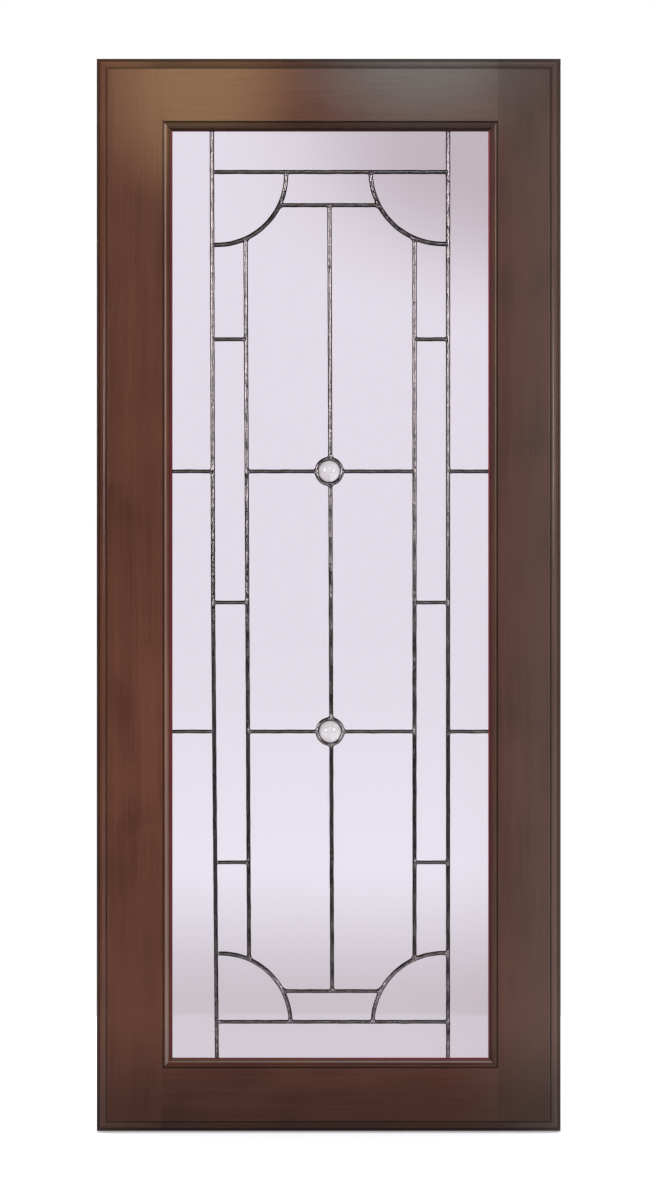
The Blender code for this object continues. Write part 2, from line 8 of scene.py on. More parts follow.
import bmesh
import bpy
import numpy as np
from bpy.props import FloatProperty, FloatVectorProperty, IntProperty, PointerProperty
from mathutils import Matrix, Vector


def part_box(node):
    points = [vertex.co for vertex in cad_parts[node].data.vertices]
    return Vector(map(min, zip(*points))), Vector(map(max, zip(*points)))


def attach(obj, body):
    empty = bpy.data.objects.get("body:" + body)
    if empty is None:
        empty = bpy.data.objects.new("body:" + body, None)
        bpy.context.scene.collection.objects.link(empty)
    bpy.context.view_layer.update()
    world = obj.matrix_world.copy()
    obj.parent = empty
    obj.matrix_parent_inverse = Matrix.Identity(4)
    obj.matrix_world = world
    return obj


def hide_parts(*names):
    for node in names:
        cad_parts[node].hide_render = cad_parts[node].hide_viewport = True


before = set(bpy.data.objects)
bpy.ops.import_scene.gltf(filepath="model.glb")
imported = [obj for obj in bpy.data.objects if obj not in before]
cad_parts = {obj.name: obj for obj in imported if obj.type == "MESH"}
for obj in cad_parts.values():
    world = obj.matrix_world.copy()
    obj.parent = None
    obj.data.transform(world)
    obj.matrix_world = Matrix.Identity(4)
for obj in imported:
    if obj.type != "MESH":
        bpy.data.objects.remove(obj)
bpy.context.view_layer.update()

bl_info = {
    "name": "Leaded Glass Cabinet Door",
    "version": (1, 0, 0),
    "blender": (4, 5, 0),
    "location": "3D View > Sidebar > Leaded Door",
    "description": "Builds the finished pieces and the studio of a leaded glass cabinet door",
    "category": "Add Mesh",
}

LEAF_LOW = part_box("stile_left")[0]
LEAF_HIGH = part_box("stile_right")[1]
SIGHT_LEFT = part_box("stile_left")[1].x
SIGHT_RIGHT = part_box("stile_right")[0].x
SIGHT_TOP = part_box("rail_top")[0].z
SIGHT_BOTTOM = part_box("rail_bottom")[1].z
GLASS_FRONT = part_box("pane_head_strip")[0].y
GLASS_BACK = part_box("pane_head_strip")[1].y

# Distances in metres that the seams are worked out with.
ARC_STEP = 0.0005
SAME_JOINT = 0.00002
ON_SEAM = 0.000006
BEARING_REACH = 0.0015
WEB_LIFT = 0.00003
# How hard the corners of the web are pulled in, and the crown number of the pools at the joints.
WEB_PULL = 14.0
POOL_CROWN = 1.4
PANES = 28
# How many values each table of painted light and shade below holds, evenly spaced across its moulding.
TONES = 11


# Places on the leaf where the wood's colour differs: the middle of each and its reach, in (x, z). The tawny and
# the grey places are partly the wood's own tone and partly painted sheen, and the pale place is lighter wood.
TAWNY_TONE_AND_SHEEN_PLACE = ((0.098, 0.515), (0.127, 0.165))
GREY_TONE_AND_SHEEN_PLACE = ((0.326, 0.540), (0.158, 0.118))
PALE_PLACE = ((0.060, -0.140), (0.160, 0.190))
# Painted light and shade across the outer moulding, from the outside inwards, for each edge of the leaf.
EDGE_PAINTED_LIGHT = {
    "left": (0.75, 0.95, 0.85, 1.00, 0.95, 1.05, 1.00, 1.00, 1.00, 1.00, 1.00),
    "right": (0.90, 1.50, 0.95, 1.30, 0.90, 1.45, 0.90, 1.05, 1.00, 1.00, 0.85),
    "top_left": (0.30, 0.35, 0.42, 0.42, 0.42, 0.42, 0.40, 0.38, 0.42, 0.55, 0.50),
    "top_right": (0.45, 0.55, 0.60, 0.70, 0.80, 0.85, 0.80, 0.70, 0.55, 0.70, 1.20),
    "bottom": (0.40, 0.45, 0.50, 0.55, 0.60, 0.62, 0.65, 0.70, 0.70, 0.65, 0.60),
}
# Painted light and shade across the sticking, from the lip over the glass outwards, for both ends of each member:
# the foot or the left end first. In both tables, below 1 is painted shade and above 1 is painted highlight.
SIGHT_PAINTED_LIGHT = {
    "stile_left": ((0.95, 1.00, 1.10, 1.30, 1.55, 1.80, 1.85, 1.70, 1.20, 0.80, 0.55),
                   (1.20, 1.10, 1.00, 0.80, 0.60, 0.75, 1.25, 1.65, 1.50, 1.00, 0.65)),
    "stile_right": ((1.05, 1.00, 0.85, 0.72, 0.70, 0.78, 0.85, 0.85, 0.85, 0.80, 0.75),
                    (1.90, 1.85, 1.25, 1.00, 0.95, 1.00, 1.10, 1.10, 1.05, 1.00, 1.00)),
    "rail_top": ((0.20, 0.25, 0.30, 0.30, 0.30, 0.38, 0.42, 0.42, 0.42, 0.36, 0.30),
                 (0.20, 0.25, 0.30, 0.30, 0.35, 0.45, 0.50, 0.50, 0.48, 0.40, 0.30)),
    "rail_bottom": ((1.00, 1.10, 1.35, 1.80, 1.60, 0.95, 0.85, 0.80, 0.78, 0.75, 0.70),
                    (1.60, 1.20, 1.00, 1.90, 2.10, 0.75, 0.70, 0.80, 0.90, 0.88, 0.80)),
}
# Each member's name, side, end and tone, the edges that its moulding runs along, which pick its painted light and
# shade from EDGE_PAINTED_LIGHT, how far the crimson lip reaches, and how strong it is at both ends.
MEMBERS = (
    ("stile_left", -1, 0, 0.90, ("bottom", "left", "left", "top_left"), 0.0020, (0.55, 0.95)),
    ("stile_right", 1, 0, 0.76, ("bottom", "right", "right", "top_right"), 0.0021, (0.60, 1.00)),
    ("rail_top", 0, 1, 0.90, ("top_left", "top_right"), 0.0008, (1.00, 1.00)),
    ("rail_bottom", 0, -1, 0.94, ("bottom", "bottom"), 0.0012, (0.10, 1.00)),
)


# The kinds of setting: the property that holds each, and its options.
LENGTH = (FloatProperty, {"precision": 5, "subtype": "DISTANCE", "unit": "LENGTH"})
SHARE = (FloatProperty, {"precision": 3, "min": 0.0, "max": 1.0, "subtype": "FACTOR"})
INDEX = (FloatProperty, {"precision": 3, "min": 1.0, "max": 2.5})
POWER = (FloatProperty, {"unit": "POWER"})
COLOUR = (FloatVectorProperty, {"size": 3, "min": 0.0, "max": 1.0, "subtype": "COLOR"})
COUNT = (IntProperty, {"min": 3})


def settings(kind, **rows):
    """Settings of one kind from rows of key=(description, default). Each is named by its key in words."""
    holder, options = kind
    return {key: holder(name=key.replace("_", " ").capitalize(), description=about, default=default, **options)
            for key, (about, default) in rows.items()}


class JoinerySizes(bpy.types.PropertyGroup):
    """Sizes of the stiles and rails."""
    __annotations__ = settings(
        LENGTH,
        edge_band=("Width of the moulding round the outside", 0.0110),
        edge_step=("Drop from the face to the outer moulding", 0.0013),
        edge_land=("Flat before the outer ovolo", 0.0008),
        edge_drop=("Drop of the outer ovolo", 0.0047),
        edge_fillet=("Flat outside the outer ovolo", 0.0030),
        edge_nose=("Rounding of the outer arris", 0.0012),
        sight_band=("Width of the sticking round the glass", 0.0094),
        sight_step=("Drop from the face to the sticking", 0.0015),
        sight_land=("Flat before the ovolo of the sticking", 0.0007),
        sight_drop=("Drop of the ovolo of the sticking", 0.0048),
        sight_fillet=("Flat inside the ovolo of the sticking", 0.0027),
        sight_nose=("Rounding of the lip over the glass", 0.0008),
        ledge=("Depth of the ledge that the panel lies on", 0.0090),
        rebate=("Width of the rebate behind the lip", 0.0085),
        arris=("Rounding of the sharp arrises", 0.00035),
        joint=("Hairline between stile and rail", 0.00006))


class SeamSizes(bpy.types.PropertyGroup):
    """Sizes and plan of the soldered seams."""
    __annotations__ = settings(
        LENGTH,
        upright_half=("Half the width of an upright seam", 0.0021),
        bar_half=("Half the width of a level seam", 0.00185),
        arc_half=("Half the width of a corner arc", 0.0021),
        ring_half=("Half the width of the ring round a nugget", 0.0019),
        edge_half=("Half the width of the hidden seam round the panel", 0.0025),
        wrap_half=("How far the hidden seam wraps past the glass", 0.0013),
        panel_rebate=("Width of the rebate round the panel", 0.0085),
        panel_gap=("Space between the panel and its rebate", 0.0010),
        foot_gap=("Space under the panel, which stands on its rebate", 0.0003),
        panel_round=("Rounding of the hidden seam's corners", 0.0040),
        web_half=("Half the thickness of the solder between two panes", 0.0005),
        crown=("Height of a seam above the glass", 0.0012),
        waver=("How far the hand soldered crown wanders", 0.00016),
        spacing=("Distance between two sections of a seam", 0.0030),
        fillet=("Solder drawn into the corner where seams meet", 0.0013),
        margin_left=("Width of the left margin panes", 0.0389),
        margin_right=("Width of the right margin panes", 0.0397),
        column_left=("Width of the left column", 0.0329),
        column_right=("Width of the right column", 0.0333),
        knee_lean=("Lean of the outer left seam at its middle", 0.0012),
        outer_lean=("Lean of the outer left seam at its foot", 0.0050),
        inner_lean=("Lean of the inner left seam at its foot", 0.0045),
        centre_top=("Shift of the centre seam at its head", -0.0012),
        centre_foot=("Shift of the centre seam at its foot", 0.0020),
        head_margin=("Height of the head strip", 0.0397),
        head_band=("Height of the band under the head strip", 0.0329),
        row_upper=("From the head band to the upper nugget", 0.2643),
        foot_margin=("Height of the foot strip", 0.0351),
        foot_band=("Height of the band over the foot strip", 0.0305),
        row_lower=("From the foot band to the lower nugget", 0.2577),
        short_drop=("How far the short bars sit below the middle", 0.0010),
        arc_inset=("From the outer seam to the arc's centre", 0.0047),
        arc_top_left=("Radius of the top left arc", 0.0689),
        arc_top_right=("Radius of the top right arc", 0.0722),
        arc_foot_left=("Radius of the lower left arc", 0.0686),
        arc_foot_right=("Radius of the lower right arc", 0.0701),
        drop_top_left=("From the bar to the top left arc's centre", 0.0034),
        drop_top_right=("From the bar to the top right arc's centre", -0.0007),
        drop_foot_left=("From the bar to the lower left arc's centre", -0.0008),
        drop_foot_right=("From the bar to the lower right arc's centre", -0.0018),
        nugget_radius=("Radius of a nugget inside its ring", 0.0107),
        nugget_rise=("Height of a nugget's dome", 0.0035),
        nugget_sidestep=("From the centre seam to a nugget's centre", -0.0011))
    __annotations__ |= settings(
        COUNT,
        nugget_rings=("Rings of faces in a nugget's dome", 18),
        nugget_turns=("Faces round a nugget", 72))


class DoorFinishes(bpy.types.PropertyGroup):
    """Colours and sheens of the door."""
    __annotations__ = settings(
        COLOUR,
        stain=("Middle tone of the stained wood", (0.108, 0.040, 0.024)),
        stain_dark=("Where the stain gathers", (0.072, 0.025, 0.016)),
        stain_light=("Lighter streaks of the wood", (0.142, 0.055, 0.032)),
        # Partly the wood's own tawny tone and partly painted sheen, a warm reflection painted into the colour.
        honey=("The tawny board end at the upper left", (0.275, 0.150, 0.075)),
        # Partly greyer wood and partly painted sheen at the upper right and down the right stile. It also greys the
        # painted highlights on the mouldings.
        haze=("The greyer wood at the upper right", (0.152, 0.146, 0.139)),
        lip=("Crimson stain on the lip over the glass", (0.142, 0.010, 0.022)),
        bead=("Stain of the glazing beads", (0.075, 0.033, 0.024)),
        solder=("Bright crown of the solder", (0.530, 0.490, 0.500)),
        # Partly the solder's blackening and partly painted shade down the sides, where they turn away from the
        # light.
        patina=("Dark patina down the sides of the solder", (0.018, 0.014, 0.016)),
        glass=("Cast of the clear glass", (0.93, 0.91, 0.95)),
        nugget=("Cast of the slightly milky nuggets", (0.97, 0.95, 0.96)))
    __annotations__ |= settings(SHARE, lacquer=("Weight of the satin lacquer", 0.14))
    __annotations__ |= settings(INDEX, ior=("Refraction of the glass", 1.52))


class StudioSettings(bpy.types.PropertyGroup):
    """Camera, lights and floor."""
    __annotations__ = settings(
        LENGTH,
        distance=("From the front face to the camera", 3.20),
        view_height=("Height of the view at the front face", 1.18717),
        floor_front=("How far the floor reaches in front", 0.96),
        floor_back=("How far the floor reaches behind", 0.894),
        floor_left=("How far the floor reaches to the left of the hinge edge", 1.6),
        floor_right=("How far the floor reaches to the right of the hinge edge", 2.06),
        floor_gap=("From the foot of the leaf down to the floor", 0.0015),
        aim_across=("From the middle of the leaf across to the camera's axis", -0.0012),
        aim_up=("From the middle of the leaf up to the camera's axis", -0.0051))
    __annotations__ |= settings(
        POWER,
        side_power=("Power of the left side light", 9.0),
        top_power=("Power of the light overhead", 24.0),
        key_power=("Power of the high front light", 2.5))
    __annotations__ |= settings(
        SHARE,
        right_share=("Power of the right side light as a share of the left one's", 0.85),
        ambient=("Brightness of the walls on the wood", 0.88))


def maths(operation, reflected=False):
    """A method that adds a Math node. Its two values go the other way round if it is reflected."""
    def method(self, other):
        first, second = (other, self) if reflected else (self, other)
        return self.bench.node("ShaderNodeMath", {"operation": operation}, {0: first, 1: second})
    return method


class Wire:
    """One socket in a shader expression. + - * / and ** with wires or numbers add Math nodes."""

    def __init__(self, bench, socket):
        self.bench, self.socket = bench, socket

    __add__ = __radd__ = maths("ADD")
    __sub__, __rsub__ = maths("SUBTRACT"), maths("SUBTRACT", True)
    __mul__ = __rmul__ = maths("MULTIPLY")
    __truediv__, __rtruediv__ = maths("DIVIDE"), maths("DIVIDE", True)
    __pow__, __rpow__ = maths("POWER"), maths("POWER", True)


class Bench:
    """Adds nodes to one shader tree."""

    def __init__(self, tree, shift=(0.0, 0.0, 0.0)):
        self.tree, self.shift = tree, shift
        tree.nodes.clear()

    def node(self, kind, settings=None, inputs=None, output=0):
        """Adds a node: its type, its settings first, then a value or a wire for each of its sockets."""
        made = self.tree.nodes.new(kind)
        for key, value in (settings or {}).items():
            setattr(made, key, value)
        for key, value in (inputs or {}).items():
            socket = made.inputs[key]
            if isinstance(value, Wire):
                self.tree.links.new(value.socket, socket)
            elif socket.type == "RGBA" and len(value) == 3:
                socket.default_value = (*value, 1.0)
            else:
                socket.default_value = value
        return Wire(self, made.outputs[output]) if len(made.outputs) else None

    def part(self, vector, axis):
        """One of the x, y and z parts of a vector."""
        return self.node("ShaderNodeSeparateXYZ", inputs={0: vector}, output=axis)

    def noise(self, place, scale, detail=3.0, roughness=0.55, distortion=0.0, shift=None):
        """Soft noise from 0 to 1 over places that are shifted and then scaled: one blob for each unit."""
        scale, shift = scale if isinstance(scale, tuple) else (scale,) * 3, shift or self.shift
        vector = self.node("ShaderNodeVectorMath", {"operation": "MULTIPLY_ADD"},
                           {0: place, 1: scale, 2: tuple(s * k for s, k in zip(shift, scale))})
        return self.node("ShaderNodeTexNoise", {"noise_dimensions": "3D"},
                         {"Vector": vector, "Scale": 1.0, "Detail": detail, "Roughness": roughness,
                          "Distortion": distortion}, "Fac")

    def soft(self, value, low, high, start=0.0, stop=1.0):
        """start below low, stop above high, with a smooth step between."""
        return self.node("ShaderNodeMapRange", {"interpolation_type": "SMOOTHSTEP"},
                         {"Value": value, "From Min": low, "From Max": high, "To Min": start, "To Max": stop})

    def between(self, value, low, high, top, end, stop=0.0):
        """1 between high and top, falling smoothly to 0 at low and to stop at end."""
        return self.soft(value, low, high) * self.soft(value, top, end, 1.0, stop)

    def patch(self, x, z, centre, reach):
        """An oval patch, 1 in the middle and 0 beyond its reach along x and z, with a smooth fall between."""
        across, up = (x - centre[0]) / reach[0], (z - centre[1]) / reach[1]
        return 1.0 - self.soft((across * across + up * up) ** 0.5, 0.15, 1.0)

    def mix(self, factor, first, second):
        """Two colours mixed: the first at 0, the second at 1."""
        return self.node("ShaderNodeMix", {"data_type": "RGBA"}, {0: factor, 6: first, 7: second}, 2)

    def dim(self, colour, red, green, blue):
        """A colour with each of its channels multiplied by a number."""
        by = self.node("ShaderNodeCombineColor", inputs={0: red, 1: green, 2: blue})
        return self.node("ShaderNodeMix", {"data_type": "RGBA", "blend_type": "MULTIPLY"},
                         {0: 1.0, 6: colour, 7: by}, 2)

    def attribute(self, name):
        """A number stored on the piece's points."""
        return self.node("ShaderNodeAttribute", {"attribute_name": name}, output="Fac")

    def bump(self, height, strength, depth):
        """A bump of the given depth in metres."""
        return self.node("ShaderNodeBump", inputs={"Height": height, "Strength": strength, "Distance": depth})

    def surface(self, inputs):
        """The Principled shader and the material's output."""
        shader = self.node("ShaderNodeBsdfPrincipled", inputs=inputs)
        self.node("ShaderNodeOutputMaterial", inputs={"Surface": shader})


def new_material(name, shift=(0.0, 0.0, 0.0)):
    """A new material, the bench for its nodes, and object coordinates: metres in the door's own frame."""
    material = bpy.data.materials.new(name)
    material.use_nodes = True
    bench = Bench(material.node_tree, shift)
    return material, bench, bench.node("ShaderNodeTexCoord", output="Object")


def along_grain(axis, slow, fast):
    """Noise scales, slow along the grain's axis (0 or 2) and fast across it."""
    return (slow, fast, fast) if axis == 0 else (fast, fast, slow)


def stained_wood(name, axis, tone, finishes, shift):
    """Stained close-grained wood under satin lacquer, with its grain along one axis (0 or 2).

    The stain's level is the sum of broad blotches, streaks stretched along the grain and fine pores. A tawny colour
    fades out round the upper left, and a greyer one round the upper right and towards the right edge: each is partly
    the wood's own tone and partly painted sheen. The foot and the upper right corner are darker. The piece's own
    numbers paint light and shade on its mouldings: painted shade in the quirks, painted highlights on the arrises,
    and painted light and shade across each moulding. Its lip number gives the crimson lip.
    """
    material, bench, place = new_material(name, shift)
    blotch = bench.noise(place, 11.0, 3.0, 0.5, 0.4)
    streak = bench.noise(place, along_grain(axis, 4.0, 60.0), 4.0, 0.55, 0.5)
    grain = bench.noise(place, along_grain(axis, 14.0, 420.0), 3.0, 0.6)
    pores = bench.noise(place, along_grain(axis, 90.0, 1500.0), 1.0, 0.5)
    level = bench.soft(blotch * 0.40 + streak * 0.34 + grain * 0.26, 0.28, 0.72)
    wood = bench.mix(level, finishes.stain_dark, finishes.stain_light)
    wood = bench.mix(bench.soft(blotch, 0.35, 0.62) * 0.5, wood, finishes.stain)
    x, z = bench.part(place, 0), bench.part(place, 2)
    cover = 0.62 + grain * 0.3
    # Partly tawny wood and partly painted sheen round the upper left.
    wood = bench.mix(bench.patch(x, z, *TAWNY_TONE_AND_SHEEN_PLACE) * cover, wood, finishes.honey)
    # Partly greyer wood and partly painted sheen towards the right edge, and more of both round the upper right.
    wood = bench.mix(bench.soft(x, 0.34, 0.46) * 0.27, wood, finishes.haze)
    wood = bench.mix(bench.patch(x, z, *GREY_TONE_AND_SHEEN_PLACE) * cover, wood, finishes.haze)
    # The shade number paints light and shade across the mouldings. Where it paints highlights, above 1.1, they turn
    # greyer.
    run, rub = bench.attribute("shade"), bench.attribute("rub")
    wood = bench.mix(bench.soft(run, 1.1, 2.4) * 0.9, wood, finishes.haze)
    wood = bench.mix(bench.attribute("lip") * 0.92, wood, finishes.lip)
    # Painted shade in the quirks, down to 0.42, and painted highlights on the arrises, up to 1.25, with a little
    # wear.
    quirk_shade_and_arris_light = bench.soft(rub, 0.0, 0.5, 0.42, 1.0) * bench.soft(rub, 0.5, 1.0, 1.0, 1.25)
    foot = bench.soft(z, -0.515, -0.415, 0.50, 1.0)
    pale = 1.0 + bench.patch(x, z, *PALE_PLACE) * 0.16
    dusk = 1.0 - bench.soft(x, 0.355, 0.42) * bench.soft(z, 0.42, 0.52) * 0.22
    # All the painted light and shade of the mouldings and quirks, with the darker foot, the pale place, the darker
    # upper right corner, the pores and the member's own tone.
    shade = run * quirk_shade_and_arris_light * foot * pale * dusk * bench.soft(pores, 0.26, 0.40, 0.90, 1.0) * tone
    wood = bench.dim(wood, shade, shade, shade)
    height = grain * 0.5 + bench.soft(pores, 0.28, 0.44) * 0.5
    bench.surface({
        "Base Color": wood,
        "Roughness": 0.16 + grain * 0.05 - rub * 0.02,
        "Normal": bench.bump(height, 0.30, 0.00010),
        "Coat Weight": bench.soft(streak, 0.2, 0.8, finishes.lacquer * 0.8, finishes.lacquer * 1.2),
        "Coat Roughness": 0.13,
        "Coat IOR": 1.45,
        "Specular IOR Level": 0.36,
    })
    return material


def bead_wood(name, axis, finishes, shift):
    """The glazing beads' plainer stain: streaks along the bead and pores, with no lacquer coat."""
    material, bench, place = new_material(name, shift)
    streak = bench.noise(place, along_grain(axis, 7.0, 160.0), 4.0, 0.6, 0.3)
    pores = bench.noise(place, along_grain(axis, 110.0, 1600.0), 1.0)
    dark = tuple(c * 0.62 for c in finishes.bead)
    light = tuple(min(1.0, c * 1.45) for c in finishes.bead)
    bench.surface({
        "Base Color": bench.mix(bench.soft(streak, 0.30, 0.70), dark, light),
        "Roughness": 0.48 + streak * 0.14,
        "Normal": bench.bump(streak * 0.6 + pores * 0.4, 0.4, 0.00012),
        "Specular IOR Level": 0.35,
    })
    return material


def clear_glass(name, finishes, shift):
    """Clear sheet glass: faint smears in its polish and the long slow waves of the sheet."""
    material, bench, place = new_material(name, shift)
    smear = bench.noise(place, (26.0, 26.0, 9.0), 3.0, 0.6, 1.2)
    wave = bench.noise(place, (14.0, 14.0, 8.0), 1.0, 0.4)
    bench.surface({
        "Base Color": finishes.glass,
        "Roughness": bench.soft(smear, 0.35, 0.75, 0.004, 0.030),
        "IOR": finishes.ior,
        "Transmission Weight": 1.0,
        "Normal": bench.bump(wave, 0.25, 0.0006),
    })
    return material


def nugget_glass(name, finishes, shift):
    """Fire-polished nugget glass: smooth, with slow ripples and a faint mist of seed bubbles."""
    material, bench, place = new_material(name, shift)
    ripple = bench.noise(place, 210.0, 2.0, 0.5, 0.6)
    seeds = bench.noise(place, 900.0, 1.0)
    bench.surface({
        "Base Color": finishes.nugget,
        "Roughness": bench.soft(seeds, 0.62, 0.80, 0.010, 0.06),
        "IOR": finishes.ior,
        "Transmission Weight": 0.72,
        "Coat Weight": 1.0,
        "Coat Roughness": 0.03,
        "Coat IOR": 1.9,
        "Normal": bench.bump(ripple + seeds * 0.15, 0.3, 0.0002),
    })
    return material


def solder_metal(name, finishes):
    """Tin and lead solder, rubbed bright on the crown and dark down the sides. The dark is partly blackened
    solder and partly painted shade where the sides turn away from the light.

    The crown number is 0 at the glass, 1 on the crown and more in the pools at the joints, which are rougher and
    catch the light in places.
    """
    material, bench, place = new_material(name)
    crown = bench.attribute("crown")
    mottle = bench.noise(place, 380.0, 3.0, 0.6, 0.6)
    lumps = bench.noise(place, 130.0, 2.0, shift=(0.3, 0.0, 0.7))
    # Bare solder on the crown. Down the sides it turns to the dark colour, which is partly blackening and partly
    # painted shade.
    bright = bench.soft(crown + (mottle - 0.5) * 0.5 + (lumps - 0.5) * 0.3, 0.76, 1.00)
    pool = bench.soft(crown, 1.0, 1.2) * bench.soft(lumps, 0.42, 0.56)
    bench.surface({
        "Base Color": bench.mix(bright, finishes.patina, finishes.solder),
        "Metallic": 1.0,
        "Roughness": 0.16 - bright * 0.06 + mottle * 0.06 + pool * 0.30,
        "Normal": bench.bump(mottle * 0.15 + lumps, 0.32, 0.00014),
    })
    return material


def make_piece(node, slot, points, faces, material, sharp, numbers=None):
    """A closed mesh piece that stands for a CAD node, from an array of points and lists of faces.

    Its faces point outwards, and are shaded smooth up to the sharp angle. Numbers are stored on its points.
    """
    name = node + "_finished"
    mesh = bpy.data.meshes.new(name)
    mesh.from_pydata(points.tolist(), [], faces)
    for key, values in (numbers or {}).items():
        mesh.attributes.new(key, "FLOAT", "POINT").data.foreach_set("value", values.astype(np.float32))
    body = bmesh.new()
    body.from_mesh(mesh)
    bmesh.ops.remove_doubles(body, verts=body.verts, dist=1e-7)
    bmesh.ops.dissolve_degenerate(body, edges=body.edges, dist=1e-8)
    bmesh.ops.recalc_face_normals(body, faces=body.faces)
    open_edges = sum(1 for edge in body.edges if len(edge.link_faces) != 2)
    if open_edges:
        raise RuntimeError("%s has %d open edges" % (name, open_edges))
    body.to_mesh(mesh)
    body.free()
    mesh.materials.append(material)
    mesh.shade_smooth()
    mesh.set_sharp_from_angle(angle=sharp)
    piece = bpy.data.objects.new(name, mesh)
    bpy.context.scene.collection.objects.link(piece)
    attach(piece, "root")
    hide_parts(node)


def ellipse_quarter(start, stop, steps):
    """(offset, depth) points of a quarter ellipse that leaves start level and reaches stop plumb."""
    turn = np.linspace(0.0, math.pi / 2, steps + 1)
    return np.stack([start[0] + (stop[0] - start[0]) * np.sin(turn),
                     start[1] + (stop[1] - start[1]) * (1.0 - np.cos(turn))], 1)


def half_moulding(band, step, land, drop, fillet, nose, arris, nose_light_and_wear):
    """One edge moulding from the flat face to the side of the member, as rows of (offset, depth, rub).

    Rounded arris, step, land, ovolo, fillet and nose. The third number paints highlights on the arrises at 1 and
    shade in the quirks at 0, with a little wear, and nose_light_and_wear is its value on the nose. The first row
    keeps the flat face's shading flat up to the arris.
    """
    floor = step + drop
    crest = ellipse_quarter((band + arris, 0.0), (band, arris), 3)
    ovolo = ellipse_quarter((band - land, step), (fillet, floor), 14)
    lip = ellipse_quarter((nose, floor), (0.0, floor + nose), 6)
    rows = np.concatenate([[(band + arris * 4, 0.0)], crest, [(band, step)], ovolo, lip])
    # Painted light and shade with a little wear: 0 paints shade in the quirks, and higher numbers paint highlights.
    rub = np.concatenate([[0.5, 0.5, 0.6, 0.7, 0.4], [0.0], [0.10, 0.25, 0.45, 0.7], np.full(7, 0.55),
                          [0.45, 0.35, 0.2, 0.1], np.full(7, nose_light_and_wear)])
    return np.column_stack([rows, rub])


def member_stations(sizes):
    """The two halves of a member's section, outer and sight, each as rows of (offset, depth, rub, part).

    Part is -1 on the outer moulding, 1 on the sticking and 0 elsewhere.
    """
    depth = LEAF_HIGH.y - LEAF_LOW.y
    edge = half_moulding(sizes.edge_band, sizes.edge_step, sizes.edge_land, sizes.edge_drop, sizes.edge_fillet,
                         sizes.edge_nose, sizes.arris, 0.15)[::-1]
    arris = ellipse_quarter((sizes.arris * 2, depth), (0.0, depth - sizes.arris * 2), 3)
    side_top, side_foot = edge[0, 1] + sizes.arris * 2, depth - sizes.arris * 4
    outer = np.concatenate([[(sizes.arris * 6, depth, 0.5)], np.column_stack([arris, [0.5, 0.8, 0.8, 0.5]]),
                            [(0.0, side_foot, 0.5), (0.0, side_top, 0.4)], edge])
    sight = half_moulding(sizes.sight_band, sizes.sight_step, sizes.sight_land, sizes.sight_drop,
                          sizes.sight_fillet, sizes.sight_nose, sizes.arris, 0.70)[5:]
    back = [(0.0, sizes.ledge, 0.5), (sizes.rebate, sizes.ledge, 0.2), (sizes.rebate, depth - sizes.arris, 0.5),
            (sizes.rebate + sizes.arris, depth, 0.5)]
    sight = np.concatenate([sight, back])
    edge_part = np.where((outer[:, 0] < sizes.edge_band) & (outer[:, 1] < side_top + 1e-6), -1.0, 0.0)
    sight_part = np.where(sight[:, 1] < sizes.ledge + 1e-6, 1.0, 0.0)
    return np.column_stack([outer, edge_part]), np.column_stack([sight, sight_part])


